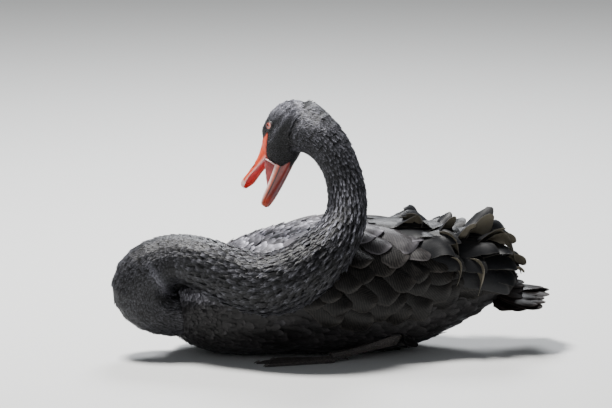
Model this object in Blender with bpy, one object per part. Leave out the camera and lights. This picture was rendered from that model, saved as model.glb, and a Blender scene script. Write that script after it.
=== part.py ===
"""Black swan at rest on its belly, life size, with its neck laid back over the left shoulder and its bill open.

Frame: metres, +Z up, the floor at z = 0, the bird facing -X with its left side towards -Y.
The origin is on the flat of the belly. Heights named WATER count from the line where the bird floats.
"""

import math
import random

import bmesh
import bpy
import numpy as np
from mathutils import Vector

MM = 0.001
GAP = 0.3 * MM  # the joint that neighbouring pieces keep
WATER = 60 * MM  # the floating line above the flat of the belly

# Trunk: a boat-shaped hull from the bow of the breast to the rump.
BOW_X = -235 * MM
RUMP_X = 235 * MM
TAIL_TIP_X = 311 * MM
WIDEST_X = -30 * MM
HIGHEST_X = 10 * MM
HALF_WIDTH = 108 * MM
BACK_HEIGHT = 129 * MM  # above the floating line
KEEL_DEPTH = 66 * MM  # below the floating line, before the belly is flattened
KEEL_FRONT_X = -110 * MM
KEEL_REAR_X = 60 * MM
RUMP_KEEL = 8 * MM
RUMP_WIDTH_SHARE = 0.245
RUMP_HEIGHT_SHARE = 0.447
WIDEST_SHARE = 0.55  # how far up each section its widest line runs
SECTION_POWER = 2.2  # 2 is an ellipse

# Neck: the root leaves the bow, folds over itself, lies along the left shoulder and arches up to the head.
FOLD_CENTRE = (-213 * MM, 41 * MM)  # x, and height above the floating line
FOLD_RADII = (52 * MM, 40.5 * MM)  # along x, and up
FOLD_STEPS = 4
FOLD_SIDE = (-20 * MM, -40 * MM)  # y at the bottom and at the top of the fold
FOLD_GIRTH = (36.6 * MM, 39 * MM)  # half thickness in the fold's plane, and across it
FOLD_SWELL = 10 * MM  # what the outermost part of the fold adds in its plane
# x, y, height above the floating line, half thickness in the plane of the bends, half thickness across it
NECK_ROOT = (
    (-150, -5, -6, 40, 50),
    (-184, -12, -1, 38, 48),
)
NECK_RISE = (
    (-176, -64, 76, 40.5, 39),
    (-134, -86, 63, 45, 41),
    (-92, -106, 57, 47, 43),
    (-50, -115, 74, 45, 43),
    (-22, -113, 96, 41, 40),
    (3, -101, 122, 35, 36),
    (17, -86, 156, 28.5, 30.5),
    (17, -77, 184, 27, 29),
    (3, -70, 228, 28, 29),
    (-26, -60, 261, 36, 30),
    (-48, -49, 268, 42, 28),
)

# Head: its own frame starts at the edge of the feathers on the forehead, in the middle of the bill.
FOREHEAD = (-94 * MM, -20 * MM, 243 * MM)  # x, y, height above the floating line
HEAD_PITCH = math.radians(62.5)  # bill below the horizon
HEAD_YAW = math.radians(25)  # away from the side on which the neck lies
HEAD_ROLL = math.radians(13)
# along the bill, down from the culmen's line: half depth, half width, of sections from nape to cheek edge
HEAD_BACK = -77 * MM
HEAD_DEEPEST = -38 * MM
HEAD_FRONT = 13 * MM
HEAD_HALF_DEPTH = 33.5 * MM
HEAD_HALF_WIDTH = 26 * MM
EYE_AT = (-30 * MM, 9.5 * MM, 18.6 * MM)
EYE_RADIUS = 6.6 * MM
LID_RADIUS = 5.5 * MM
LID_THICKNESS = 1.3 * MM

# Bill
BILL_LENGTH = 74 * MM
BILL_HALF_WIDTH = 14.5 * MM
JAW_TIP = (78 * MM, 51 * MM)  # along the bill, and down from the culmen's line

# Feathers: stations along a vane, and its width there as a share of the widest
VANE_STATIONS = (0.0, 0.5, 0.88, 1.0)
VANE_WIDTHS = (0.5, 1.0, 0.78, 0.0)
VANE_THICK_ROOT = 1.1 * MM
VANE_THICK_TIP = 0.55 * MM
ROOT_DEPTH = 3.4 * MM

# Wings
WING_FRONT = -78 * MM
WING_REAR = 236 * MM
CORE_STATIONS = 14
CORE_THICK = 6.5 * MM
COVERT_COLUMNS = 9
COVERT_ROWS = 4
COVERT_FIRST = -62 * MM
COVERT_LAST = 168 * MM
COVERT_LENGTHS = (50 * MM, 78 * MM)  # shortest in front
COVERT_WIDTHS = (34 * MM, 38 * MM)
COVERT_ROLL = 6  # degrees, so that each feather laps over the one beside it
COVERT_DROP = 0.24  # how far round the trunk a covert's tip hangs, as a share of the wing
# The long inner feathers that stand up in a ruffle over the rump:
# root x, root's share of the wing from the back, tip x, tip y, tip height above the floating line, width
TERTIALS = (
    (78, 0.12, 119, 34, 132, 24),
    (116, 0.14, 176, 30, 129, 34),
    (126, 0.36, 198, 54, 118, 34),
    (148, 0.14, 229, 22, 136, 38),
    (152, 0.40, 241, 46, 112, 36),
    (166, 0.22, 252, 20, 107, 35),
    (170, 0.62, 259, 46, 82, 34),
    (178, 0.38, 267, 26, 65, 32),
    (176, 0.80, 266, 44, 48, 30),
)

# Tail: feathers in a tier, their length, width, and the height of the middle one's tip
TAIL_ROOT_X = RUMP_X - 6 * MM
TAIL_SPREAD = 33  # degrees to each side
TAIL_TIERS = (
    (9, 70 * MM, 22 * MM, 23 * MM),
    (5, 42 * MM, 20 * MM, 35 * MM),
)

# Feet
TOE_BASE = (-5 * MM, 86 * MM, 8 * MM)
ANKLE = (84 * MM, 57 * MM, 25 * MM)
TOE_LENGTHS = (84 * MM, 104 * MM, 96 * MM)  # inner, middle, outer
TOE_SPREAD = (13, 0, -13)  # degrees towards the middle line

HULL_STATIONS = 26
HULL_SIDES = 24


def clear_scene():
    for obj in list(bpy.data.objects):
        bpy.data.objects.remove(obj)


def material(name, colour, roughness):
    made = bpy.data.materials.new(name)
    made.use_nodes = True
    shader = made.node_tree.nodes["Principled BSDF"]
    shader.inputs["Base Color"].default_value = (*colour, 1)
    shader.inputs["Roughness"].default_value = roughness
    return made


def mesh_object(name, points, faces, finish=None):
    """A new object of these points and faces, turned to face outwards."""
    mesh = bpy.data.meshes.new(name)
    mesh.from_pydata([tuple(p) for p in points], [], [tuple(f) for f in faces])
    work = bmesh.new()
    work.from_mesh(mesh)
    bmesh.ops.recalc_face_normals(work, faces=work.faces)
    work.to_mesh(mesh)
    work.free()
    if finish:
        mesh.materials.append(finish)
    obj = bpy.data.objects.new(name, mesh)
    bpy.context.scene.collection.objects.link(obj)
    return obj


def loft(name, rings, finish=None):
    """A closed skin through rings of equal count. A ring of one point is a tip."""
    points, starts = [], []
    for ring in rings:
        starts.append(len(points))
        points.extend(ring)
    faces = []
    for (here, ring), (there, following) in zip(
        zip(starts, rings), zip(starts[1:], rings[1:])
    ):
        count = max(len(ring), len(following))
        for i in range(count):
            j = (i + 1) % count
            if len(ring) == 1:
                faces.append((here, there + j, there + i))
            elif len(following) == 1:
                faces.append((here + i, here + j, there))
            else:
                faces.append((here + i, here + j, there + j))
                faces.append((here + i, there + j, there + i))
    for start, ring in ((starts[0], rings[0]), (starts[-1], rings[-1])):
        if len(ring) > 1:
            middle = len(points)
            points.append(np.mean(ring, axis=0))
            for i in range(len(ring)):
                faces.append((start + i, start + (i + 1) % len(ring), middle))
    return mesh_object(name, points, faces, finish)


def applied(obj):
    """Puts the evaluated mesh in place of obj's own, without its modifiers."""
    graph = bpy.context.evaluated_depsgraph_get()
    mesh = bpy.data.meshes.new_from_object(obj.evaluated_get(graph))
    obj.modifiers.clear()
    obj.data = mesh
    return obj


def largest_only(obj):
    """Keeps the closed surface with the most room inside."""
    work = bmesh.new()
    work.from_mesh(obj.data)
    seen, groups = set(), []
    for first in work.faces:
        if first in seen:
            continue
        group, queue = [], [first]
        seen.add(first)
        while queue:
            face = queue.pop()
            group.append(face)
            for edge in face.edges:
                for other in edge.link_faces:
                    if other not in seen:
                        seen.add(other)
                        queue.append(other)
        groups.append(group)

    def room(group):
        total = 0.0
        for face in group:
            corners = [v.co for v in face.verts]
            for i in range(1, len(corners) - 1):
                total += corners[0].dot(corners[i].cross(corners[i + 1]))
        return total

    keep = set(max(groups, key=room))
    bmesh.ops.delete(work, geom=[f for f in work.faces if f not in keep], context="FACES")
    work.to_mesh(obj.data)
    work.free()
    return obj


def combine(obj, others, operation, solver="MANIFOLD"):
    """One Boolean of obj with a collection of closed meshes, which are then removed."""
    others = [o for o in others if o is not None]
    if not others:
        return obj
    group = bpy.data.collections.new("operands")
    bpy.context.scene.collection.children.link(group)
    for other in others:
        for owner in list(other.users_collection):
            owner.objects.unlink(other)
        group.objects.link(other)
    modifier = obj.modifiers.new("combine", "BOOLEAN")
    modifier.operation = operation
    modifier.operand_type = "COLLECTION"
    modifier.collection = group
    modifier.solver = solver
    applied(obj)
    for other in others:
        bpy.data.objects.remove(other)
    bpy.data.collections.remove(group)
    return largest_only(obj)


def fuse(obj, others):
    return combine(obj, others, "UNION")


def carve(obj, cutters):
    return combine(obj, cutters, "DIFFERENCE")


def grown(obj, by=GAP):
    """A copy of obj, larger by this much all round, to cut its neighbours with."""
    copy = bpy.data.objects.new(obj.name + "_grown", obj.data.copy())
    bpy.context.scene.collection.objects.link(copy)
    work = bmesh.new()
    work.from_mesh(copy.data)
    work.normal_update()
    moved = []
    for vertex in work.verts:
        push = vertex.normal
        share = min((push.dot(face.normal) for face in vertex.link_faces), default=1.0)
        moved.append(vertex.co + push * (by / max(share, 0.45)))
    for vertex, place in zip(work.verts, moved):
        vertex.co = place
    work.to_mesh(copy.data)
    work.free()
    return copy


def smooth_through(rows, count):
    """Rows read at even steps of length from a natural cubic through them all."""
    rows = np.array(rows, float)
    steps = np.linalg.norm(np.diff(rows[:, :3], axis=0), axis=1)
    at = np.concatenate([[0], np.cumsum(steps)])
    size = len(rows)
    system = np.eye(size)
    right = np.zeros_like(rows)
    for i in range(1, size - 1):
        before, after = at[i] - at[i - 1], at[i + 1] - at[i]
        system[i, i - 1 : i + 2] = before, 2 * (before + after), after
        right[i] = 6 * (
            (rows[i + 1] - rows[i]) / after - (rows[i] - rows[i - 1]) / before
        )
    bend = np.linalg.solve(system, right)

    def read(s):
        i = int(np.clip(np.searchsorted(at, s) - 1, 0, size - 2))
        h = at[i + 1] - at[i]
        a, b = (at[i + 1] - s) / h, (s - at[i]) / h
        return (
            a * rows[i]
            + b * rows[i + 1]
            + ((a**3 - a) * bend[i] + (b**3 - b) * bend[i + 1]) * h * h / 6
        )

    fine = np.array([read(s) for s in np.linspace(0, at[-1], 40 * size)])
    run = np.concatenate(
        [[0], np.cumsum(np.linalg.norm(np.diff(fine[:, :3], axis=0), axis=1))]
    )
    even = np.linspace(0, run[-1], count)
    return np.stack([np.interp(even, run, fine[:, k]) for k in range(rows.shape[1])], 1)


def blend(low, high, share):
    return low + (high - low) * share


def eased(share):
    share = min(max(share, 0.0), 1.0)
    return share * share * (3 - 2 * share)


# The trunk


def hull_half_width(x):
    if x < WIDEST_X:
        t = min((WIDEST_X - x) / (WIDEST_X - BOW_X), 1)
        return HALF_WIDTH * math.sqrt(1 - t**2.6)
    t = (x - WIDEST_X) / (RUMP_X - WIDEST_X)
    return HALF_WIDTH * (1 - (1 - RUMP_WIDTH_SHARE) * min(t, 1) ** 1.5)


def hull_top(x):
    if x < HIGHEST_X:
        t = min((HIGHEST_X - x) / (HIGHEST_X - BOW_X), 1)
        return BACK_HEIGHT * (1 - t**1.8) ** 0.55
    t = (x - HIGHEST_X) / (RUMP_X - HIGHEST_X)
    return BACK_HEIGHT * (1 - (1 - RUMP_HEIGHT_SHARE) * t**2.2)


def hull_keel(x):
    if x < KEEL_FRONT_X:
        t = min((KEEL_FRONT_X - x) / (KEEL_FRONT_X - BOW_X), 1)
        return -KEEL_DEPTH * math.sqrt(1 - t**2.6)
    if x < KEEL_REAR_X:
        return -KEEL_DEPTH
    t = (x - KEEL_REAR_X) / (RUMP_X - KEEL_REAR_X)
    return -KEEL_DEPTH + (KEEL_DEPTH + RUMP_KEEL) * t**1.8


def hull_point(x, turn, out=0.0):
    """The trunk's skin at x, turned from the back (0) over the left side (90) to the keel (180)."""
    top, keel, half = hull_top(x), hull_keel(x), hull_half_width(x)
    middle = keel + WIDEST_SHARE * (top - keel)
    angle = math.radians(turn)
    across, up = math.sin(angle), math.cos(angle)
    power = 1.0 if up > 0 else 2 / SECTION_POWER
    rise = (top - middle) if up > 0 else (middle - keel)
    y = -math.copysign(abs(across) ** power, across) * (half + out)
    z = middle + math.copysign(abs(up) ** power, up) * (rise + out) + WATER
    return np.array((x, y, z))


def make_trunk(finish):
    rings = [[np.array((BOW_X, 0, WATER))]]
    span = RUMP_X - BOW_X
    for i in range(1, HULL_STATIONS + 1):
        share = i / HULL_STATIONS
        x = BOW_X + span * (share**1.6 if share < 0.5 else 1 - (1 - share) * (2 - 2 * 0.5**1.6))
        rings.append(
            [hull_point(x, 360 * k / HULL_SIDES) for k in range(HULL_SIDES)]
        )
    trunk = loft("torso", rings, finish)
    flatten(trunk)
    return trunk


def flatten(obj, height=0.0):
    """Cuts away what lies below the floor and closes the cut with one flat face."""
    work = bmesh.new()
    work.from_mesh(obj.data)
    geometry = work.verts[:] + work.edges[:] + work.faces[:]
    cut = bmesh.ops.bisect_plane(
        work,
        geom=geometry,
        plane_co=(0, 0, height),
        plane_no=(0, 0, 1),
        clear_inner=True,
        dist=1e-7,
    )
    rim = [g for g in cut["geom_cut"] if isinstance(g, bmesh.types.BMEdge)]
    bmesh.ops.contextual_create(work, geom=rim)
    bmesh.ops.recalc_face_normals(work, faces=work.faces)
    work.to_mesh(obj.data)
    work.free()


# The neck


def neck_rows():
    rows = [tuple(v * MM for v in row) for row in NECK_ROOT]
    for i in range(FOLD_STEPS + 1):
        share = i / FOLD_STEPS
        angle = math.radians(-90 - 180 * share)
        rows.append(
            (
                FOLD_CENTRE[0] + FOLD_RADII[0] * math.cos(angle),
                blend(*FOLD_SIDE, eased(share)),
                FOLD_CENTRE[1] + FOLD_RADII[1] * math.sin(angle),
                FOLD_GIRTH[0] + FOLD_SWELL * math.sin(math.pi * share) ** 2,
                FOLD_GIRTH[1],
            )
        )
    rows += [tuple(v * MM for v in row) for row in NECK_RISE]
    return rows


NECK_STEPS = 52
NECK_SIDES = 14


def neck_line():
    return smooth_through(neck_rows(), NECK_STEPS)


def neck_rings(line, first, last, out=0.0):
    """Rings of the neck from one share of its length to another."""
    tangents = np.gradient(line[:, :3], axis=0)
    tangents /= np.linalg.norm(tangents, axis=1)[:, None]
    side = np.array((0.0, 1.0, 0.0))
    sides = []
    for t in tangents:
        side = side - t * (side @ t)
        side = side / np.linalg.norm(side)
        sides.append(side)
    at = np.linspace(0, 1, len(line))
    inner = [s for s in at if first + 0.004 < s < last - 0.004]
    rings = []
    for s in [first, *inner, last]:
        row = np.array([np.interp(s, at, line[:, k]) for k in range(5)])
        t = np.array([np.interp(s, at, tangents[:, k]) for k in range(3)])
        t /= np.linalg.norm(t)
        across = np.array([np.interp(s, at, np.array(sides)[:, k]) for k in range(3)])
        across -= t * (across @ t)
        across /= np.linalg.norm(across)
        inward = np.cross(t, across)
        centre = row[:3] + (0, 0, WATER)
        ring = []
        for k in range(NECK_SIDES):
            angle = 2 * math.pi * k / NECK_SIDES
            ring.append(
                centre
                + inward * math.cos(angle) * (row[3] + out)
                + across * math.sin(angle) * (row[4] + out)
            )
        rings.append(ring)
    return rings


# The head


def head_axes():
    """Along the bill, down from the culmen, and to the bird's left."""
    cp, sp = math.cos(HEAD_PITCH), math.sin(HEAD_PITCH)
    cy, sy = math.cos(HEAD_YAW), math.sin(HEAD_YAW)
    cr, sr = math.cos(HEAD_ROLL), math.sin(HEAD_ROLL)
    ahead = np.array((-cp * cy, cp * sy, -sp))
    down = np.array((sp * cy, -sp * sy, -cp))
    left = np.array((-sy, -cy, 0.0))
    return ahead, down * cr + left * sr, left * cr - down * sr


def in_head(along, down, left=0.0):
    """A point of the head's frame, in the object's frame."""
    a, d, l = head_axes()
    return np.array(FOREHEAD) + (0, 0, WATER) + a * along + d * down + l * left


def head_section(along):
    """Centre, half depth and half width of the feathered head at a place along the bill's line."""
    if along < HEAD_DEEPEST:
        t = (HEAD_DEEPEST - along) / (HEAD_DEEPEST - HEAD_BACK)
        round_off = math.sqrt(max(1 - t * t, 0))
        return 24 * MM + 3 * MM * t, HEAD_HALF_DEPTH * round_off, HEAD_HALF_WIDTH * round_off
    t = (along - HEAD_DEEPEST) / (HEAD_FRONT - HEAD_DEEPEST)
    depth = blend(HEAD_HALF_DEPTH, 21 * MM, t**2.3)
    width = blend(HEAD_HALF_WIDTH, 16.5 * MM, t**1.8)
    return blend(24 * MM, 34 * MM, t**1.6), depth, width


def head_ring(along, sides=20, out=0.0):
    centre, depth, width = head_section(along)
    ring = []
    for k in range(sides):
        angle = 2 * math.pi * k / sides
        down, left = math.cos(angle), math.sin(angle)
        ring.append(
            in_head(along, centre + down * (depth + out), left * (width + out))
        )
    return ring


def ball(name, centre, radius, finish=None, rings=7, sides=10):
    work = bmesh.new()
    bmesh.ops.create_uvsphere(work, u_segments=sides, v_segments=rings, radius=radius)
    bmesh.ops.translate(work, verts=work.verts, vec=Vector(centre))
    mesh = bpy.data.meshes.new(name)
    work.to_mesh(mesh)
    work.free()
    if finish:
        mesh.materials.append(finish)
    obj = bpy.data.objects.new(name, mesh)
    bpy.context.scene.collection.objects.link(obj)
    return obj


def make_lid(side):
    """The raised rim of skin round one eye."""
    a, d, l = head_axes()
    facing = l * side * 0.94 - d * 0.18 + a * 0.2
    facing /= np.linalg.norm(facing)
    across = np.cross(facing, d)
    across /= np.linalg.norm(across)
    upward = np.cross(across, facing)
    eye = in_head(EYE_AT[0], EYE_AT[1], EYE_AT[2] * side)
    centre = eye + facing * 4.6 * MM
    around, across_count = 12, 6
    points, faces = [], []
    for i in range(around):
        turn = 2 * math.pi * i / around
        ray = across * math.cos(turn) * 1.12 + upward * math.sin(turn) * 0.92
        for k in range(across_count):
            tube = 2 * math.pi * k / across_count
            points.append(
                centre
                + ray * (LID_RADIUS + LID_THICKNESS * math.cos(tube))
                + facing * LID_THICKNESS * 1.2 * math.sin(tube)
            )
    for i in range(around):
        for k in range(across_count):
            j, m = (i + 1) % around, (k + 1) % across_count
            a0, a1 = i * across_count + k, i * across_count + m
            b0, b1 = j * across_count + k, j * across_count + m
            faces += [(a0, b0, b1), (a0, b1, a1)]
    return mesh_object("lid", points, faces)


def make_head(finish, eyes):
    stations = [-76.2, -72, -64, -54, -42, -30, -18, -6, 4, 13]
    rings = [[in_head(HEAD_BACK, 27 * MM)]]
    rings += [head_ring(x * MM) for x in stations]
    head = loft("head", rings, finish)
    fuse(head, [make_lid(1), make_lid(-1)])
    carve(head, [grown(eye) for eye in eyes])
    return head


# The bill


def upper_bill_rings():
    """The upper bill: a low dome over a shallow palate, with a nail at its tip."""
    rings = []
    for t in (0.0, 0.12, 0.3, 0.5, 0.68, 0.82, 0.92, 0.98, 1.0):
        along = blend(-3 * MM, BILL_LENGTH, t)
        sag = 6.2 * MM * math.sin(math.pi * min(t / 0.92, 1)) ** 1.1
        nail = 2.5 * MM * eased((t - 0.85) / 0.15)
        culmen = sag + nail - 2 * MM * t * t
        edge = blend(23 * MM, 10.5 * MM, eased(t / 0.85)) - 2.5 * MM * eased((t - 0.85) / 0.15)
        half = BILL_HALF_WIDTH * blend(1.02, 1.0, t)
        if t > 0.7:
            half *= math.sqrt(max(1 - ((t - 0.7) / 0.312) ** 2.4, 0.03))
        depth = max(edge - culmen, 2.5 * MM)
        palate = min(4.5 * MM, depth * 0.45)
        lip = min(2.0 * MM, half * 0.3)
        ring = []
        for k in range(9):
            turn = math.pi * k / 8
            ring.append(
                (along, edge - depth * math.sin(turn) ** 0.85, half * math.cos(turn))
            )
        ring.append((along, edge - 0.2 * MM, -(half - lip)))
        ring.append((along, edge - palate, -half * 0.45))
        ring.append((along, edge - palate, half * 0.45))
        ring.append((along, edge - 0.2 * MM, half - lip))
        rings.append([in_head(*p) for p in ring])
    return rings


def lower_bill_rings():
    """The lower bill: a flat trough on a line that opens down from the cheek."""
    base = np.array((4 * MM, 48 * MM))
    tip = np.array(JAW_TIP)
    run = tip - base
    line = run / np.linalg.norm(run)
    below = np.array((-line[1], line[0]))
    rings = []
    for t in (0.0, 0.2, 0.45, 0.7, 0.86, 0.95, 1.0):
        centre = base + run * t + below * (1.6 * MM * math.sin(math.pi * t))
        half = blend(13.8 * MM, 12.6 * MM, t)
        if t > 0.72:
            half *= math.sqrt(max(1 - ((t - 0.72) / 0.292) ** 2.4, 0.04))
        deep = blend(15 * MM, 6 * MM, t**0.8)
        trough = deep * 0.5
        lip = min(2.2 * MM, half * 0.3)
        outline = (
            (-0.5, 1.0),
            (-0.1, 1.02),
            (0.32, 0.9),
            (0.5, 0.62),
            (0.46, 0.0),
            (0.5, -0.62),
            (0.32, -0.9),
            (-0.1, -1.02),
            (-0.5, -1.0),
        )
        ring = [(centre + below * deep * v, half * u) for v, u in outline]
        ring.append((centre - below * (deep * 0.5 - 0.2 * MM), -(half - lip)))
        ring.append((centre - below * (deep * 0.5 - trough), -half * 0.55))
        ring.append((centre - below * (deep * 0.5 - trough), half * 0.55))
        ring.append((centre - below * (deep * 0.5 - 0.2 * MM), half - lip))
        rings.append([in_head(p[0], p[1], left) for p, left in ring])
    return rings


def make_nostril(side):
    centre = in_head(36 * MM, 7.5 * MM, 11.5 * MM * side)
    hole = ball("nostril", (0, 0, 0), 1.0, rings=6, sides=10)
    a, d, l = head_axes()
    for vertex in hole.data.vertices:
        p = np.array(vertex.co)
        vertex.co = Vector(
            centre + a * p[0] * 5.5 * MM + d * p[1] * 1.9 * MM + l * p[2] * 2.6 * MM
        )
    return hole


def make_tongue(finish):
    rings = []
    for t in (0.0, 0.25, 0.5, 0.75, 0.92, 1.0):
        along = blend(6 * MM, 58 * MM, t)
        down = blend(38.0 * MM, 42.0 * MM, t) - 2.2 * MM * math.sin(math.pi * t)
        half = 7.5 * MM * math.sqrt(max(1 - t**3.2, 0.04))
        thick = blend(3.2 * MM, 1.6 * MM, t)
        ring = []
        for k in range(10):
            turn = 2 * math.pi * k / 10
            ring.append(
                in_head(along, down + thick * math.sin(turn), half * math.cos(turn))
            )
        rings.append(ring)
    return loft("tongue", rings, finish)


# Feathers


def make_vane(start, toward, tip, normal, width, cup=0.1, twist=0.0, roll=0.0):
    """One feather's vane along a bow from its root to its tip, cupped over its shaft.

    Both faces are split into triangles alike, so that they never cross.
    """
    start, toward, tip = (np.array(p, float) for p in (start, toward, tip))
    upper, lower = [], []
    for share, wide in zip(VANE_STATIONS, VANE_WIDTHS):
        here = (
            start * (1 - share) ** 2
            + toward * 2 * share * (1 - share)
            + tip * share**2
        )
        run = (toward - start) * (1 - share) + (tip - toward) * share
        run /= np.linalg.norm(run)
        up = normal - run * (normal @ run)
        up /= np.linalg.norm(up)
        across = np.cross(run, up)
        turn = math.radians(roll + twist * share)
        across, up = (
            across * math.cos(turn) + up * math.sin(turn),
            up * math.cos(turn) - across * math.sin(turn),
        )
        half = width * wide / 2
        thick = blend(VANE_THICK_ROOT, VANE_THICK_TIP, share)
        for side in (-1, 0, 1) if wide else (0,):
            spot = here + across * half * side - up * abs(side) * cup * half * 2
            upper.append(spot + up * thick / 2)
            lower.append(spot - up * thick / 2)
    count = len(upper)
    rows = (count - 1) // 3
    top, rim = [], []
    for i in range(rows - 1):
        for k in (0, 1):
            a, b = 3 * i + k, 3 * (i + 1) + k
            top += [(a, b, b + 1), (a, b + 1, a + 1)]
    end = 3 * (rows - 1)
    top += [(end, count - 1, end + 1), (end + 1, count - 1, end + 2)]
    edge = [0, 1, 2]
    edge += [3 * i + 2 for i in range(1, rows)]
    edge += [count - 1]
    edge += [3 * i for i in range(rows - 1, 0, -1)]
    for i, a in enumerate(edge):
        b = edge[(i + 1) % len(edge)]
        rim += [(a, b, b + count), (a, b + count, a + count)]
    bottom = [(a + count, c + count, b + count) for a, b, c in top]
    return mesh_object("vane", upper + lower, top + bottom + rim)


def hull_normal(x, turn):
    ahead = hull_point(x + 2 * MM, turn) - hull_point(x - 2 * MM, turn)
    around = hull_point(x, turn + 2) - hull_point(x, turn - 2)
    normal = np.cross(ahead, around)
    normal /= np.linalg.norm(normal)
    return normal if normal[2] * math.cos(math.radians(turn)) >= 0 else -normal


# Wings


def wing_band(share):
    """Where the folded wing starts and ends round the trunk, in degrees from the back."""
    high = blend(34, 5, eased(share / 0.3)) + 6 * eased((share - 0.75) / 0.25)
    low = blend(72, 102, eased(share / 0.3)) - 36 * eased((share - 0.6) / 0.4)
    return high, low


def wing_core_out(share, band):
    """How far the core under the feathers stands out from the trunk."""
    body = eased(share / 0.12) * eased((1 - share) / 0.2 + 0.1)
    return 1 * MM + CORE_THICK * body * max(math.sin(math.pi * band), 0) ** 0.35


def wing_share(x):
    return (x - WING_FRONT) / (WING_REAR - WING_FRONT)


def wing_place(x, band, above=0.0):
    """A point over the wing's core, and the turn at which it lies."""
    share = min(max(wing_share(x), 0.0), 1.0)
    high, low = wing_band(share)
    turn = blend(high, low, band)
    return hull_point(x, turn, wing_core_out(share, band) + above), turn


def make_wing(name, side, finish, seed):
    """The folded wing: a thin core that hugs the trunk, under rows of overlapping vanes."""
    draw = random.Random(seed)
    rings = []
    for i in range(CORE_STATIONS):
        share = i / (CORE_STATIONS - 1)
        x = blend(WING_FRONT, WING_REAR, share)
        high, low = wing_band(share)
        ring = []
        for k in range(8):
            band = k / 7
            ring.append(hull_point(x, blend(high, low, band), wing_core_out(share, band)))
        for k in (7, 5, 3, 0):
            ring.append(hull_point(x, blend(high, low, k / 7), -5 * MM))
        rings.append([p * (1, side, 1) for p in ring])
    wing = loft(name, rings, finish)
    vanes = []
    for column in range(COVERT_COLUMNS):
        share = column / (COVERT_COLUMNS - 1)
        for row in range(COVERT_ROWS):
            band = (row + 0.75 - 0.5 * (column % 2)) / COVERT_ROWS
            band = 0.1 + 0.8 * band + draw.uniform(-0.02, 0.02)
            x = blend(COVERT_FIRST, COVERT_LAST, share) + draw.uniform(-4, 4) * MM
            length = blend(*COVERT_LENGTHS, share**1.2) * draw.uniform(0.92, 1.1)
            width = blend(*COVERT_WIDTHS, share) * draw.uniform(0.94, 1.06)
            drop = COVERT_DROP * (1 - share) * (1 - 0.5 * band)
            rise = draw.uniform(3.5, 6.0) * MM
            start, turn = wing_place(x, band, -ROOT_DEPTH)
            toward, _ = wing_place(x + length * 0.5, band + drop * 0.5, 1.5 * MM)
            tip, _ = wing_place(x + length, min(band + drop, 1.04), rise)
            flip = np.array((1, side, 1))
            normal = hull_normal(x, turn) * flip
            roll = COVERT_ROLL * side
            vanes.append(
                make_vane(start * flip, toward * flip, tip * flip, normal, width, 0.07, 0, roll)
            )
    for x, band, tip_x, tip_y, tip_height, width in TERTIALS:
        start, turn = wing_place(x * MM, band, -ROOT_DEPTH)
        tip = np.array((tip_x * MM, -tip_y * MM, tip_height * MM + WATER))
        if side < 0:
            tip += (draw.uniform(-7, 4) * MM, draw.uniform(-3, 3) * MM, draw.uniform(-9, 1) * MM)
        reach = np.linalg.norm(tip - start)
        toward, _ = wing_place(x * MM + reach * 0.42, band, 3 * MM)
        flip = np.array((1, side, 1))
        normal = hull_normal(x * MM, turn) * flip
        vanes.append(
            make_vane(
                start * flip,
                toward * flip,
                tip * flip,
                normal,
                width * MM,
                0.12,
                draw.uniform(-26, 26),
            )
        )
    return fuse(wing, vanes)


def middle_cutter(side):
    """A slab over the far half, so that the two wings keep their gap on the back."""
    x, y, z = 0.4, 0.2, 0.4
    edge = -side * GAP / 2
    near, far = edge, edge - side * -y
    points = [(a, b, c) for a in (-x, x) for b in (near, far) for c in (0.0, z)]
    faces = [(0, 1, 3, 2), (4, 6, 7, 5), (0, 4, 5, 1), (2, 3, 7, 6), (0, 2, 6, 4), (1, 5, 7, 3)]
    return mesh_object("middle_cutter", points, faces)


# Tail


def tail_section(t, out=0.0):
    """One ring of the tail's envelope, from the rump (0) to the tip (1)."""
    x = blend(TAIL_ROOT_X, TAIL_TIP_X, t)
    half = blend(27 * MM, 44 * MM, t**0.8)
    if t > 0.75:
        half *= math.sqrt(max(1 - ((t - 0.75) / 0.27) ** 2.2, 0.02))
    top = blend(55 * MM, 28 * MM, t**0.8)
    low = blend(6 * MM, 12 * MM, t)
    middle, rise = (top + low) / 2, (top - low) / 2
    ring = []
    for k in range(14):
        turn = 2 * math.pi * k / 14
        ring.append(
            np.array(
                (
                    x,
                    (half + out) * math.sin(turn),
                    WATER + middle + (rise + out) * math.cos(turn),
                )
            )
        )
    return ring


def make_tail(finish):
    """The closed tail: a short core, the tail feathers in a low arch, and coverts over their roots."""
    rings = []
    for t in (0.0, 0.25, 0.5, 0.62):
        shrink = 1 - 1.0 * t
        ring = tail_section(t)
        centre = np.mean(ring, axis=0)
        rings.append([centre + (p - centre) * (1, blend(0.62, 0.95, shrink), shrink) for p in ring])
    tail = loft("tail", rings, finish)
    vanes = []
    for tier, (count, length, width, lift) in enumerate(TAIL_TIERS):
        for k in range(count):
            at = 2 * k / (count - 1) - 1
            angle = math.radians(TAIL_SPREAD * at)
            droop = abs(at) ** 1.6
            start = np.array((TAIL_ROOT_X + 12 * MM, 14 * MM * at, WATER + (27 - 6 * droop) * MM))
            reach = length * (1 - 0.2 * droop)
            tip = start + np.array((math.cos(angle), math.sin(angle), 0)) * reach
            tip[2] = WATER + lift - 18 * MM * droop
            toward = blend(start, tip, 0.5) + (0, 0, (5 if tier else 2) * MM)
            normal = np.array((0.1, 0.35 * at, 1.0))
            vanes.append(make_vane(start, toward, tip, normal, width, 0.08))
    return fuse(tail, vanes)


# Legs and feet


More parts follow.
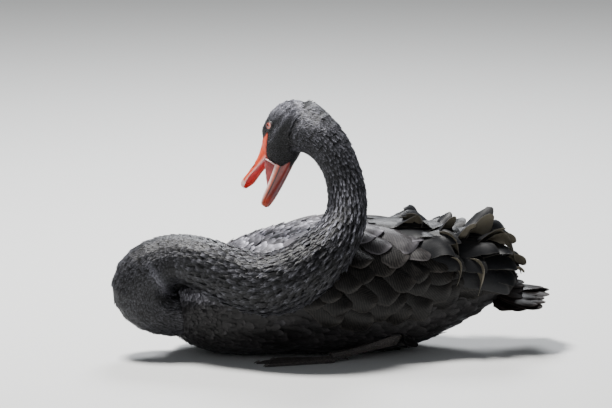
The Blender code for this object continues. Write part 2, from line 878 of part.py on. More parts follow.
def tube(name, points, radii, sides=7, flat=1.0, finish=None):
    """A tapered round bar through these points."""
    points = [np.array(p, float) for p in points]
    rings = []
    for i, (p, r) in enumerate(zip(points, radii)):
        t = points[min(i + 1, len(points) - 1)] - points[max(i - 1, 0)]
        t /= np.linalg.norm(t)
        across = np.cross(t, (0, 0, 1))
        across /= np.linalg.norm(across)
        up = np.cross(across, t)
        rings.append(
            [
                p
                + across * r * math.cos(2 * math.pi * k / sides)
                + up * r * flat * math.sin(2 * math.pi * k / sides)
                for k in range(sides)
            ]
        )
    return loft(name, rings, finish)


def make_leg(name, side, finish):
    """One tucked leg: shank, toes folded forward, webs, claws and the small hind toe."""
    base = np.array(TOE_BASE) * (1, side, 1)
    ankle = np.array(ANKLE) * (1, side, 1)
    middle = blend(base, ankle, 0.5) + (0, 0, -1 * MM)
    inside = ankle + (12 * MM, -8 * MM * side, 12 * MM)
    leg = tube(
        name,
        (base, blend(base, middle, 0.5), middle, ankle, inside),
        (7.5 * MM, 5.6 * MM, 5.6 * MM, 9.0 * MM, 8.5 * MM),
        finish=finish,
    )
    tips, pieces = [], []
    for length, spread in zip(TOE_LENGTHS, TOE_SPREAD):
        angle = math.radians(spread)
        ahead = np.array((-math.cos(angle), -math.sin(angle) * side, 0))
        spots = [base + (4 * MM, 0, -3 * MM)]
        radii = [6.0 * MM]
        for share, radius in ((0.3, 4.4), (0.62, 4.0), (0.88, 3.2), (1.0, 1.0)):
            spot = base + ahead * length * share
            spot[2] = (radius * 0.72) * MM
            spots.append(spot)
            radii.append(radius * MM)
        pieces.append(tube("toe", spots, radii))
        tips.append(base + ahead * length * 0.9)
    for one, other in ((0, 1), (1, 2)):
        pieces.append(make_web(base, tips[one], tips[other]))
    hind = [
        base + (6 * MM, -5 * MM * side, 1 * MM),
        base + (16 * MM, -11 * MM * side, -3 * MM),
        base + (25 * MM, -14 * MM * side, -6 * MM),
    ]
    pieces.append(tube("hind_toe", hind, (3 * MM, 2.4 * MM, 0.8 * MM), sides=6))
    fuse(leg, pieces)
    flatten(leg)
    return leg


def make_web(base, one, other):
    """The skin between two toes, hollow-edged in front."""
    thick, lift = 1.1 * MM, 2.2 * MM
    edge = blend(one, other, 0.5) * 0.86 + base * 0.14
    outline = [base, one, edge, other]
    points = []
    for height in (lift + thick, lift - thick):
        for p in outline:
            points.append((p[0], p[1], height + (2 * MM if p is base else 0)))
    faces = [(0, 1, 2), (0, 2, 3), (4, 6, 5), (4, 7, 6)]
    for i in range(4):
        j = (i + 1) % 4
        faces += [(i, i + 4, j + 4), (i, j + 4, j)]
    return mesh_object("web", points, faces)


def build():
    clear_scene()
    plumage = material("black plumage", (0.022, 0.022, 0.026), 0.55)
    wing_plumage = material("wing plumage", (0.035, 0.032, 0.032), 0.5)
    red = material("coral bill", (0.75, 0.09, 0.05), 0.35)
    pink = material("tongue flesh", (0.55, 0.16, 0.16), 0.4)
    iris = material("red eye", (0.5, 0.07, 0.03), 0.1)
    scale = material("dark scaled leg", (0.05, 0.045, 0.045), 0.5)

    eyes = [
        ball("eye_left", in_head(*EYE_AT), EYE_RADIUS, iris),
        ball("eye_right", in_head(EYE_AT[0], EYE_AT[1], -EYE_AT[2]), EYE_RADIUS, iris),
    ]
    head = make_head(plumage, eyes)
    line = neck_line()
    joints = (0.0, 0.235, 0.36, 0.56, 0.74, 1.0)
    names = ("neck_root", "neck_fold", "neck_shoulder", "neck_rise", "neck_crook")
    run = np.linalg.norm(np.diff(line[:, :3], axis=0), axis=1).sum()
    half_gap = GAP / 2 / run
    necks = {}
    for name, first, last in zip(names, joints, joints[1:]):
        necks[name] = loft(
            name, neck_rings(line, first + half_gap, last - half_gap), plumage
        )
    carve(necks["neck_crook"], [grown(head)])

    def neck_cutter(first, last):
        return loft("neck_cutter", neck_rings(line, first, last, GAP * 1.3))

    torso = make_trunk(plumage)
    carve(necks["neck_root"], [grown(torso)])
    carve(necks["neck_fold"], [grown(necks["neck_root"])])
    carve(torso, [neck_cutter(0.19, 0.85)])
    legs = [make_leg("leg_left", -1, scale), make_leg("leg_right", 1, scale)]
    carve(torso, [grown(leg) for leg in legs])
    for name, side, seed in (("wing_left", 1, 5), ("wing_right", -1, 8)):
        wing = make_wing(name, side, wing_plumage, seed)
        room = loft("tail_room", [tail_section(t, GAP * 2) for t in (0, 0.25, 0.5, 0.75, 0.9, 1)])
        carve(wing, [grown(torso), neck_cutter(0.19, 0.85), middle_cutter(side), room])
    tail = make_tail(plumage)
    carve(tail, [grown(torso)])

    upper = loft("bill_upper", upper_bill_rings(), red)
    carve(upper, [grown(head), make_nostril(1), make_nostril(-1)])
    lower = loft("bill_lower", lower_bill_rings(), red)
    carve(lower, [grown(head)])
    tongue = make_tongue(pink)
    carve(tongue, [grown(head), grown(lower)])


build()
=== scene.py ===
"""Black swan at rest: skin, plumage, wings, tail, bill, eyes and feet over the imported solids."""

import math

import bmesh
import bpy
import numpy as np
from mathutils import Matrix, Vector
from mathutils.bvhtree import BVHTree
from mathutils.kdtree import KDTree


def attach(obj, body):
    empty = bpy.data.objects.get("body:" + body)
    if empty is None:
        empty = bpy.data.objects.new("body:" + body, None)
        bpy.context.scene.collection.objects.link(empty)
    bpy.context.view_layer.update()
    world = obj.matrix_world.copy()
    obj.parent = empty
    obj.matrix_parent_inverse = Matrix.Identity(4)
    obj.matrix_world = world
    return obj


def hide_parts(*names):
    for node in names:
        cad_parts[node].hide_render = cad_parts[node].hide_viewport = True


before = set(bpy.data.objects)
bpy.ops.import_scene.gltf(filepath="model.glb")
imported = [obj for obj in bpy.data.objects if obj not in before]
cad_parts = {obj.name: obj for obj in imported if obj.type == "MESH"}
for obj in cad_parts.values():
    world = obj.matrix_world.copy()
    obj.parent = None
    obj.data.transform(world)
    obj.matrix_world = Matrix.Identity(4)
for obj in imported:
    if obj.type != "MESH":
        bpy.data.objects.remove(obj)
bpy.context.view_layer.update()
MM = 0.001
WATER = 60 * MM  # height of the line where the bird floats, above the flat of its belly


# Studio: a pale floor, a broad soft light over the bird's left shoulder and two weaker ones, and
# the long lens that looks level with the bird's back, as in the photograph.
VIEW_AZIMUTH = math.radians(-4)
VIEW_HEIGHT = math.radians(11)
VIEW_TARGET = Vector((-33.7, 0, 208.8)) * MM
VIEW_DISTANCE = 7.141
VIEW_LENS = 300
FLOOR_HALF = 9.0
FLOOR_COLOUR = (0.66, 0.665, 0.66, 1)
SKY_COLOUR, SKY_STRENGTH = (0.86, 0.9, 0.95, 1), 0.2
# name, place, power, width and colour of each lamp
LAMPS = (
    ("key", (-0.7, 0.1, 2.6), 170, 0.6, (1.0, 0.985, 0.96)),
    ("back rim", (0.2, 1.7, 2.0), 75, 0.9, (0.95, 0.97, 1.0)),
    ("fill", (-0.6, -2.6, 0.9), 5, 2.0, (0.97, 0.98, 1.0)),
)


def put(name, data, place=(0, 0, 0), aim=None, axis="Z"):
    """A new object in the scene, with one of its axes turned along aim."""
    obj = bpy.data.objects.new(name, data)
    obj.location = place
    if aim:
        obj.rotation_euler = aim.to_track_quat(axis, "Y").to_euler()
    bpy.context.scene.collection.objects.link(obj)
    return obj


def feed(node, given):
    """Gives a node's inputs their values, or joins them to other nodes' outputs."""
    for label, value in given.items():
        if isinstance(value, bpy.types.NodeSocket):
            node.id_data.links.new(value, node.inputs[label])
        else:
            node.inputs[label].default_value = value


def node_adder(tree):
    """A function that adds a node to the tree and returns its outputs."""

    def add(kind, given=None, **settings):
        node = tree.nodes.new("ShaderNode" + kind)
        for label, value in settings.items():
            setattr(node, label, value)
        feed(node, given or {})
        return node.outputs

    return add


def new_finish(name):
    """A material, the function that adds its nodes, and its shader."""
    finish = bpy.data.materials.new(name)
    finish.use_nodes = True
    tree = finish.node_tree
    return finish, node_adder(tree), tree.nodes["Principled BSDF"]


def make_floor():
    mesh = bpy.data.meshes.new("floor")
    h = FLOOR_HALF
    mesh.from_pydata([(-h, -h, 0), (h, -h, 0), (h, h, 0), (-h, h, 0)], [], [(0, 1, 2, 3)])
    finish, _, shader = new_finish("pale floor")
    feed(shader, {"Base Color": FLOOR_COLOUR, "Roughness": 0.9})
    mesh.materials.append(finish)
    floor = put("floor", mesh)


def place_camera():
    camera = bpy.data.cameras.new("camera")
    camera.lens = VIEW_LENS
    camera.sensor_width = 36
    camera.clip_end = 60
    flat = math.cos(VIEW_HEIGHT)
    back = (math.sin(VIEW_AZIMUTH) * flat, -math.cos(VIEW_AZIMUTH) * flat, math.sin(VIEW_HEIGHT))
    back = Vector(back)
    place = VIEW_TARGET + back * VIEW_DISTANCE
    bpy.context.scene.camera = put("camera", camera, place, back)


def place_lights():
    for name, place, power, width, colour in LAMPS:
        lamp = bpy.data.lights.new(name, "AREA")
        lamp.energy, lamp.size, lamp.color = power, width, colour
        put(name, lamp, place, VIEW_TARGET - Vector(place), "-Z")
    world = bpy.data.worlds.new("studio")
    bpy.context.scene.world = world
    world.use_nodes = True
    sky = world.node_tree.nodes["Background"]
    feed(sky, {"Color": SKY_COLOUR, "Strength": SKY_STRENGTH})


place_camera()
place_lights()
make_floor()
# Skin: one closed hide over breast, body, neck and head, a coat's depth inside the outline of the
# plumage. It is dark where feathers cover it, and bare and red before the eyes and in the mouth.
FLESH = ["torso", "neck_root", "neck_fold", "neck_shoulder", "neck_rise", "neck_crook", "head"]
SKIN_VOXEL = 2.6 * MM
SKIN_ROUNDS = 5
BODY_COAT = 5.0 * MM
NECK_COAT = 3.2 * MM
CROOK_COAT = 1.8 * MM  # under the short feathers next to the head
HEAD_COAT = 0.5 * MM
NAPE_FILL, NAPE_AT, NAPE_SPREAD = 5.4 * MM, (-88, 30), (19, 22)  # depth; along and down, in mm
BROW_FILL, BROW_AT, BROW_SPREAD = 3.0 * MM, -17, 11
DEPTH_ROUNDS = 14  # the depth changes gently from one part to the next
SKULL_NEAR = 8 * MM
BARE_DEPTH = -0.5 * MM  # the bare skin stands a little proud
FOLD_MIDDLE = Vector((-206, -18, 101)) * MM
FOLD_WEB = Vector((34, 14, 20)) * MM  # half sizes of the web between the folded sides of the neck

# The head's own axes start at the feathers' edge on the forehead: along the bill, down, and left
FOREHEAD = np.array((-94, -20, 243 + 60)) * MM
HEAD_PITCH = math.radians(62.5)
HEAD_YAW = math.radians(25)
HEAD_ROLL = math.radians(13)
EYE_AT = (-30 * MM, 9.5 * MM, 18.6 * MM)
EYE_RADIUS = 6.6 * MM


def head_axes():
    cp, sp = math.cos(HEAD_PITCH), math.sin(HEAD_PITCH)
    cy, sy = math.cos(HEAD_YAW), math.sin(HEAD_YAW)
    cr, sr = math.cos(HEAD_ROLL), math.sin(HEAD_ROLL)
    along = np.array((-cp * cy, cp * sy, -sp))
    down = np.array((sp * cy, -sp * sy, -cp))
    left = np.array((-sy, -cy, 0.0))
    return np.array((along, down * cr + left * sr, left * cr - down * sr))


HEAD_AXES = head_axes()


def in_head(points):
    """From (along, down, left) to the object's frame, for one point or many."""
    return FOREHEAD + np.asarray(points, float) @ HEAD_AXES


def to_head(points):
    return (np.asarray(points, float) - FOREHEAD) @ HEAD_AXES.T


def smooth(low, high, value):
    share = np.clip((value - low) / (high - low), 0, 1)
    return share * share * (3 - 2 * share)


def bare_mask(points):
    """1 on the bare red skin between the bill and a point before each eye, 0 under feathers."""
    along, down, _ = to_head(points).T / MM
    low = np.interp(along, (-21, -12, 8, 13), (11, 14.5, 20.5, 26.5))
    high = np.interp(along, (-21, -12, -2, 3), (10.6, 7.5, 2, -5))
    inside = smooth(-0.6, 0.9, low - down) * smooth(-0.6, 0.9, down - high)
    return inside * smooth(-22, -19, along)


def mouth_mask(points):
    along, down, left = to_head(points).T
    inside = (along > 9 * MM) & (down > 15 * MM) & (down < 44 * MM) & (np.abs(left) < 14.5 * MM)
    return inside.astype(float)


def read(items, key, width=1, kind=float):
    """A property of many vertices, edges or faces, as one array."""
    values = np.zeros(len(items) * width, kind)
    items.foreach_get(key, values)
    return values.reshape(-1, width) if width > 1 else values


def settled(values, edges, rounds):
    """Values on a mesh's corners, averaged with their neighbours' a few times."""
    values = values.astype(float).copy()
    ends = np.concatenate([edges, edges[:, ::-1]])
    count = np.bincount(ends[:, 0], minlength=len(values)).clip(1)
    if values.ndim > 1:
        count = count[:, None]
    for _ in range(rounds):
        total = np.zeros_like(values)
        np.add.at(total, ends[:, 0], values[ends[:, 1]])
        values = 0.5 * values + 0.5 * total / count
    return values


def corner_normals(mesh):
    return read(mesh.vertices, "normal", 3)


def tree_of(obj):
    mesh = obj.data
    mesh.calc_loop_triangles()
    faces = read(mesh.loop_triangles, "vertices", 3, int).tolist()
    return BVHTree.FromPolygons([v.co for v in mesh.vertices], faces, all_triangles=True)


def nearest(tree, points):
    """Distance, place and normal of the surface nearest to each point."""
    found = [tree.find_nearest(p) for p in points]
    place = np.array([f[0] for f in found])
    normal = np.array([f[1] for f in found])
    return np.array([f[3] for f in found]), place, normal


def joined_flesh():
    """The flesh solids and the web of the neck's fold, remeshed into one hide."""
    copies = [put("flesh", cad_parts[name].data.copy()) for name in FLESH]
    # the loop the neck makes on the water closes on itself; a web stands for the folded sides
    web = bpy.data.meshes.new("web")
    work = bmesh.new()
    bmesh.ops.create_icosphere(work, subdivisions=3, radius=1)
    bmesh.ops.scale(work, vec=FOLD_WEB, verts=work.verts)
    bmesh.ops.translate(work, vec=FOLD_MIDDLE, verts=work.verts)
    work.to_mesh(web)
    work.free()
    copies.append(put("web", web))
    hide = copies[0]
    with bpy.context.temp_override(
        active_object=hide, object=hide, selected_editable_objects=copies
    ):
        bpy.ops.object.join()
    hide.name = "skin"
    hide.data.materials.clear()
    remesh = hide.modifiers.new("one hide", "REMESH")
    remesh.mode = "VOXEL"
    remesh.voxel_size = SKIN_VOXEL
    graph = bpy.context.evaluated_depsgraph_get()
    mesh = bpy.data.meshes.new_from_object(hide.evaluated_get(graph))
    hide.modifiers.clear()
    hide.data = mesh
    return hide


def coat_depth(points, edges):
    """How deep the hide lies under the outline of the plumage, and how far it is from the skull."""
    names = "head", "torso", "neck_crook"
    head, torso, crook = (nearest(tree_of(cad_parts[n]), points)[0] for n in names)
    depth = np.where(torso < 2 * MM, BODY_COAT, np.where(crook < 2 * MM, CROOK_COAT, NECK_COAT))
    depth = settled(np.where(head < 3 * MM, HEAD_COAT, depth), edges, DEPTH_ROUNDS)
    depth = np.where((head < 6 * MM) & (bare_mask(points) > 0.3), BARE_DEPTH, depth)
    return settled(depth, edges, 2), head


def make_skin():
    hide = joined_flesh()
    mesh = hide.data
    raw, edges = read(mesh.vertices, "co", 3), read(mesh.edges, "vertices", 2, int)
    points = settled(raw, edges, SKIN_ROUNDS)
    mesh.vertices.foreach_set("co", points.ravel())
    mesh.update()
    normals = corner_normals(mesh)
    # smoothing shrinks the hide, so it's grown again by what it lost, evened out
    lost = settled(((raw - points) * normals).sum(1), edges, 5)
    points = points + normals * lost[:, None]
    depth, head = coat_depth(points, edges)
    points = points - normals * depth[:, None]
    # feathers fill the hollow where the skull meets the neck, and round out the forehead
    along, down, _ = to_head(points).T / MM
    faces_up = smooth(0.0, 0.6, normals[:, 2])
    back, low = (along - NAPE_AT[0]) / NAPE_SPREAD[0], (down - NAPE_AT[1]) / NAPE_SPREAD[1]
    nape = np.exp(-(back**2) - low**2) * faces_up
    brow = np.exp(-(((along - BROW_AT) / BROW_SPREAD) ** 2))
    brow = brow * smooth(10, 0, down) * (head < SKULL_NEAR)
    points = points + normals * (NAPE_FILL * nape + BROW_FILL * brow)[:, None]
    points = settled(points, edges, 1)
    points[:, 2] = np.maximum(points[:, 2], 1.0 * MM)
    mesh.vertices.foreach_set("co", points.ravel())
    # the hide's regions: bare skin, lining of the mouth, and hide under feathers
    bare, mouth = (mask(points) * (head < SKULL_NEAR) for mask in (bare_mask, mouth_mask))
    region = mesh.color_attributes.new("region", "FLOAT_COLOR", "POINT")
    colours = np.stack([bare, settled(mouth, edges, 1), 0 * bare, 1 + 0 * bare], 1)
    region.data.foreach_set("color", colours.ravel())
    mesh.shade_smooth()
    return hide


def speckle(add, scale, detail=2):
    """Fine noise through the object."""
    place = add("TexCoord")["Object"]
    return add("TexNoise", {"Vector": place, "Scale": scale, "Detail": detail})["Fac"]


def blended(add, factor, first, second):
    return add("Mix", {"Factor": factor, "A": first, "B": second}, data_type="RGBA")["Result"]


def bumped(add, height, strength, distance):
    return add("Bump", {"Height": height, "Strength": strength, "Distance": distance})["Normal"]


def skin_material():
    finish, add, shader = new_finish("hide")
    marks = add("Attribute", attribute_name="region")["Color"]
    region = add("SeparateColor", {"Color": marks})
    pores = speckle(add, 900, 3)
    red = blended(add, pores, (0.66, 0.07, 0.035, 1), (0.78, 0.13, 0.07, 1))
    cover = blended(add, region["Red"], (0.0025, 0.0025, 0.003, 1), red)
    inner = blended(add, region["Green"], cover, (0.22, 0.022, 0.02, 1))
    normal = bumped(add, pores, 0.25, 0.0004)
    feed(shader, {"Base Color": inner, "Normal": normal, "Roughness": 0.62})
    feed(shader, {"Specular IOR Level": 0.2})
    return finish


skin = make_skin()
skin.data.materials.append(skin_material())
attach(skin, "root")
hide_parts(*FLESH)
skin_tree = tree_of(skin)


# Head plumage: velvety black feathers a few millimetres long, lying back from the bill over cheeks,
# crown and throat, each one rooted in the skin.
TUFT_STATIONS = (0.0, 0.38, 0.78, 1.0)
TUFT_WIDTHS = (0.55, 1.0, 0.72, 0.0)
HEAD_FROM, HEAD_TO = 14 * MM, -86 * MM
HEAD_FEATHER = 5.6 * MM
HEAD_FEATHER_WIDTH = 1.9 * MM
HEAD_ROW = 1.6 * MM
HEAD_PITCH_ROUND = 1.25 * MM
PATCH = 0.003  # a feather's share of its coat's unwrap
LONG_FEATHER = 0.1  # metres: feathers' lengths are kept as shares of it
FLOOR_GAP = 0.4 * MM
ROOTS = []  # where the small feathers of head and neck stand
CHARCOAL = (0.0035, 0.0035, 0.004, 1)
CHARCOAL_EDGE = (0.075, 0.075, 0.086, 1)
PALE_PLUME = (0.3, 0.29, 0.33, 1)
SHEEN_TINT = (0.86, 0.9, 1.0, 1)
HEAD_GIRTH = 150 * MM
HEAD_REACH = 60 * MM


def unit(v):
    return v / np.linalg.norm(v, axis=-1, keepdims=True).clip(1e-12)


def coat_mesh(name, points, triangles, local, unwrap, tint, finish, sharp=55):
    """Joined feathers as one object. points: the corners of each; triangles and local: the faces
    of one, and its corners' places on the vane; unwrap: each root's place on the coat's unwrap."""
    count, corners = points.shape[:2]
    faces = np.array(triangles)[None] + (np.arange(count) * corners)[:, None, None]
    faces = faces.reshape(-1, 3)
    mesh = bpy.data.meshes.new(name)
    mesh.vertices.add(count * corners)
    mesh.vertices.foreach_set("co", points.ravel())
    mesh.loops.add(faces.size)
    mesh.loops.foreach_set("vertex_index", faces.ravel())
    mesh.polygons.add(len(faces))
    mesh.polygons.foreach_set("loop_start", np.arange(len(faces)) * 3)
    mesh.update(calc_edges=True)
    bake = unwrap[:, None] + (local - 0.5) * PATCH
    vane = np.broadcast_to(local, (count, corners, 2))
    for label, values in (("OFBake", bake), ("Vane", vane)):
        layer = mesh.uv_layers.new(name=label)
        layer.data.foreach_set("uv", values.reshape(-1, 2)[faces.ravel()].ravel())
    layer = mesh.color_attributes.new("plume", "FLOAT_COLOR", "POINT")
    layer.data.foreach_set("color", tint.ravel())
    mesh.shade_smooth()
    mesh.set_sharp_from_angle(angle=math.radians(sharp))
    mesh.materials.append(finish)
    return put(name, mesh)


def tuft_form(length, width, lift, bend, roll, cup=0.2):
    """The columns that tuft_coat takes, from angles in degrees."""
    cup = np.full(len(length), cup)
    return np.stack([length, width, *np.radians([lift, bend, roll]), cup], 1)


def plume_shade(tone, length, pale):
    """What a feather's colour attribute holds: tone, length, paleness, and 0 for its upper side."""
    return np.stack([tone, length / LONG_FEATHER, pale, 0 * length], 1)


def tuft_coat(name, root, ahead, normal, size, unwrap, shade, finish, stations=TUFT_STATIONS,
              widths=TUFT_WIDTHS):
    """Small feathers in one mesh. size: columns of length, width, lift, bend, roll and cup."""
    length, width, lift, bend, roll, cup = size.T
    ahead = unit(ahead - normal * (ahead * normal).sum(1, keepdims=True))
    side = np.cross(ahead, normal)
    ROOTS.append(root)
    here = root.copy()
    rows, last = [], 0.0
    for share, wide in zip(stations, widths):
        pitch = lift + bend * (share + last) / 2
        run = ahead * np.cos(pitch)[:, None] + normal * np.sin(pitch)[:, None]
        here = here + run * (length * (share - last))[:, None]
        last = share
        up = np.cross(side, run)
        up = up * np.sign((up * normal).sum(1, keepdims=True))
        across = side * np.cos(roll)[:, None] + up * np.sin(roll)[:, None]
        half = (width * wide / 2)[:, None]
        if wide:
            drop = up * (cup * width * wide)[:, None]
            rows += [here - across * half - drop, here, here + across * half - drop]
        else:
            rows += [here]
    points = np.stack(rows, 1)
    corners = points.shape[1]
    full = (corners - 1) // 3
    faces = []
    for i in range(full - 1):
        a, b = 3 * i, 3 * i + 3
        faces += [(a, b, b + 1), (a, b + 1, a + 1)]
        faces += [(a + 1, b + 1, b + 2), (a + 1, b + 2, a + 2)]
        faces += [(a + 2, b + 2, b), (a + 2, b, a)]
    a, tip = 3 * (full - 1), corners - 1
    faces += [(a, tip, a + 1), (a + 1, tip, a + 2), (a + 2, tip, a), (0, 1, 2)]
    local = [(u, s) for s, w in zip(stations, widths) for u in ((0, 0.5, 1) if w else (0.5,))]
    tint = np.broadcast_to(shade[:, None], (len(root), corners, 4))
    points[..., 2] = np.maximum(points[..., 2], FLOOR_GAP)
    return coat_mesh(name, points, faces, np.array(local), unwrap, tint, finish)


def barb_group():
    """Barbs that slant out from a feather's shaft, its paler tip or rim, and its own shade."""
    group = bpy.data.node_groups.new("barbs", "ShaderNodeTree")
    sockets = (
        ("INPUT", "Color", ("Dark", "Edge", "Under", "Pale")),
        ("INPUT", "Float", ("Rim", "Rim from", "Side", "Barbs")),
        ("OUTPUT", "Color", ("Color",)),
        ("OUTPUT", "Float", ("Height", "Roughness")),
    )
    for way, kind, labels in sockets:
        for label in labels:
            socket = "NodeSocket" + kind
            group.interface.new_socket(label, in_out=way, socket_type=socket)
    add = node_adder(group)
    given = group.nodes.new("NodeGroupInput").outputs
    made = group.nodes.new("NodeGroupOutput")

    def maths(operation, *values):
        return add("Math", dict(enumerate(values)), operation=operation)[0]

    def times(*values):
        return maths("MULTIPLY", *values)

    def scaled(value, by, plus):
        return maths("MULTIPLY_ADD", value, by, plus)

    vane = add("SeparateXYZ", {"Vector": add("UVMap", uv_map="Vane")["UV"]})
    plume = add("Attribute", attribute_name="plume")
    parts = add("SeparateColor", {"Color": plume["Color"]})
    draw, size, pale = parts["Red"], parts["Green"], parts["Blue"]
    across = times(maths("ABSOLUTE", maths("SUBTRACT", vane["X"], 0.5)), 2.0)
    along = vane["Y"]
    grain = speckle(add, 240)
    waver = times(maths("SUBTRACT", grain, 0.5), 0.06)
    slant = maths("ADD", maths("SUBTRACT", along, times(across, 0.34)), waver)
    wave = maths("SINE", times(times(slant, size), 170.0))
    barb = times(scaled(wave, 0.5, 0.5), given["Barbs"])
    sides = times(maths("POWER", across, 2.2), given["Side"])
    reach = maths("MAXIMUM", sides, maths("POWER", along, 2.0))
    edges = {"Value": reach, "From Min": given["Rim from"], "From Max": 1.0}
    rim = add("MapRange", edges, interpolation_type="SMOOTHSTEP")["Result"]
    edge = times(times(rim, given["Rim"]), scaled(grain, 1.2, 0.3))
    base = blended(add, times(times(barb, grain), 0.8), given["Dark"], given["Edge"])
    edged = blended(add, edge, base, given["Edge"])
    bright = times(pale, scaled(rim, 0.75, 0.25))
    lifted = blended(add, bright, edged, given["Pale"])
    below = blended(add, plume["Alpha"], lifted, given["Under"])
    colour = add("HueSaturation", {"Color": below, "Value": scaled(draw, 1.5, 0.25)})["Color"]
    height = maths("ADD", barb, maths("LESS_THAN", across, 0.05))
    feed(made, {"Color": colour, "Height": height, "Roughness": scaled(draw, 0.12, 0.4)})
    return group


BARBS = barb_group()


def plume_material(name, dark, edge, under=CHARCOAL, pale=PALE_PLUME, rim=0.8, rim_from=0.35,
                   side=0.0, barbs=0.6, sheen=0.5, gloss=0.32):
    finish, add, shader = new_finish(name)
    given = {"Dark": dark, "Edge": edge, "Under": under, "Pale": pale, "Rim": rim}
    given.update({"Rim from": rim_from, "Side": side, "Barbs": barbs})
    barbed = add("Group", node_tree=BARBS)
    feed(barbed["Color"].node, given)
    normal = bumped(add, barbed["Height"], 0.35, 0.0002)
    feed(shader, {"Base Color": barbed["Color"], "Roughness": barbed["Roughness"]})
    feed(shader, {"Normal": normal, "Specular IOR Level": gloss, "Sheen Weight": sheen})
    feed(shader, {"Sheen Roughness": 0.4, "Sheen Tint": SHEEN_TINT})
    return finish


HEAD_FINISH = plume_material(
    "velvet head plumage", CHARCOAL, CHARCOAL_EDGE, rim=0.6, pale=(0.36, 0.36, 0.42, 1), sheen=0.1
)


def mottle(points, size):
    """A soft patchy pattern from 0 to 1, its patches about this size across."""
    p = points / size
    wave = np.sin(p @ (3.1, 1.7, -2.3)) + np.sin(p @ (-1.9, 3.3, 1.3) + 1.7)
    wave = wave + np.sin(p @ (2.2, -1.1, 3.4) + 4.1) + 0.6 * np.sin(p @ (5.2, 4.1, -3.9))
    return np.clip(0.5 + wave / 3.6, 0, 1)


def grid_rows(first, last, row, pitch_at, around_at, draw):
    """Staggered rows along a body part: how far along, and the turn round it, with jitter."""
    along, turn = [], []
    at, odd = first, 0
    direction = 1 if last > first else -1
    while (last - at) * direction > 0:
        step = row(at)
        count = max(int(around_at(at) / pitch_at(at)), 6)
        turns = (np.arange(count) + 0.5 * (odd % 2)) / count
        turns = turns + draw.uniform(-0.22, 0.22, count) / count
        along.append(at + draw.uniform(-0.25, 0.25, count) * step)
        turn.append(turns % 1.0)
        at += direction * step
        odd += 1
    return np.concatenate(along), np.concatenate(turn)


def head_plumage():
    draw = np.random.default_rng(11)
    sizes = (lambda a, size=size: size for size in (HEAD_ROW, HEAD_PITCH_ROUND, HEAD_GIRTH))
    along, turn = grid_rows(HEAD_TO, HEAD_FROM, *sizes, draw)
    angle = turn * 2 * math.pi
    middle = 24 * MM + 8 * MM * smooth(-38 * MM, 13 * MM, along)
    # each root is where a ray from outside, aimed at the head's middle, meets the hide
    ring = HEAD_REACH * np.stack([0 * angle, np.cos(angle), np.sin(angle)], 1)
    centre = np.stack([along, middle, 0 * middle], 1)
    centre, far = in_head(centre), in_head(centre + ring)
    place, normal, keep = [], [], []
    for a, b in zip(far, centre):
        hit = skin_tree.ray_cast(Vector(a), Vector(b - a))
        ok = hit[0] is not None and hit[3] < HEAD_REACH - 2 * MM
        keep.append(ok)
        place.append(hit[0] if ok else b)
        normal.append(hit[1] if ok else (0, 0, 1))
    place, normal, keep = np.array(place), np.array(normal), np.array(keep)
    local = to_head(place)
    keep &= bare_mask(place) < 0.25
    keep &= mouth_mask(place) < 0.5
    keep &= np.abs(local[:, 0] - along) < 6 * MM
    for side in (-1, 1):
        eye = in_head((EYE_AT[0], EYE_AT[1], EYE_AT[2] * side))
        keep &= np.linalg.norm(place - eye, axis=1) > EYE_RADIUS + 1.2 * MM
    place, normal, along, turn, local = (v[keep] for v in (place, normal, along, turn, local))
    count = len(place)
    # the nape bows over into the neck
    bow = np.radians(62) * smooth(-48 * MM, -84 * MM, local[:, 0])
    ahead = np.outer(np.sin(bow), HEAD_AXES[1]) - np.outer(np.cos(bow), HEAD_AXES[0])
    ahead = ahead + draw.normal(0, 0.09, (count, 3))
    cheek = smooth(20 * MM, 45 * MM, local[:, 1])
    ahead = ahead + np.outer(cheek * 0.35, HEAD_AXES[1])
    grow = 0.55 + 0.6 * smooth(5 * MM, 70 * MM, -local[:, 0])
    length = HEAD_FEATHER * grow * draw.uniform(0.85, 1.25, count)
    settle = 1 - 0.7 * smooth(-66, -82, local[:, 0] / MM)
    size = tuft_form(
        length,
        HEAD_FEATHER_WIDTH * grow * draw.uniform(0.85, 1.2, count),
        draw.uniform(14, 22, count) * settle,
        draw.uniform(-18, -8, count),
        draw.normal(0, 10, count),
    )
    at, low = local[:, 0] / MM, local[:, 1] / MM
    # painted light: the ridge behind the eye, the crown and the parts facing up are painted paler
    # and lighter as painted highlights; the cheek below the ridge is painted darker as painted
    # shade
    ridge_low = np.interp(at, (-72, -36, -6), (26.5, 24.0, 18.5))
    ridge = np.exp(-(((low - ridge_low) / 3.8) ** 2)) * smooth(-78, -64, at) * smooth(-2, -14, at)
    crown_highlight = smooth(14, 2, low) * smooth(-16, -40, at)
    nape = smooth(-50, -70, at)
    cheek = smooth(ridge_low, ridge_low + 6, low) * (1 - nape)
    streak = mottle(local * (0.3, 1, 1), 4.5 * MM)
    patch = mottle(local * (0.6, 1, 1), 11 * MM)
    lit = smooth(0.0, 0.7, normal[:, 2]) * smooth(-16, -36, at)
    pale = ridge * (0.4 + 0.5 * streak) * draw.random(count)
    pale = pale + lit * (0.2 + 0.9 * streak * draw.random(count)) + 0.10 * draw.random(count) ** 4
    tone = 0.05 + 0.3 * streak + 0.25 * patch + 0.2 * draw.random(count)
    tone = tone + 0.3 * np.maximum(np.maximum(crown_highlight, ridge), lit)
    tone = tone * (1 - 0.45 * cheek * (1 - 0.5 * patch))
    shade = plume_shade(tone, length, pale)
    unwrap = np.stack([turn, (along - HEAD_TO) / (HEAD_FROM - HEAD_TO)], 1) * 0.98 + 0.01
    root = place - normal * 0.3 * MM
    return tuft_coat("head_plumage", root, ahead, normal, size, unwrap, shade, HEAD_FINISH)


coat = head_plumage()
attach(coat, "root")


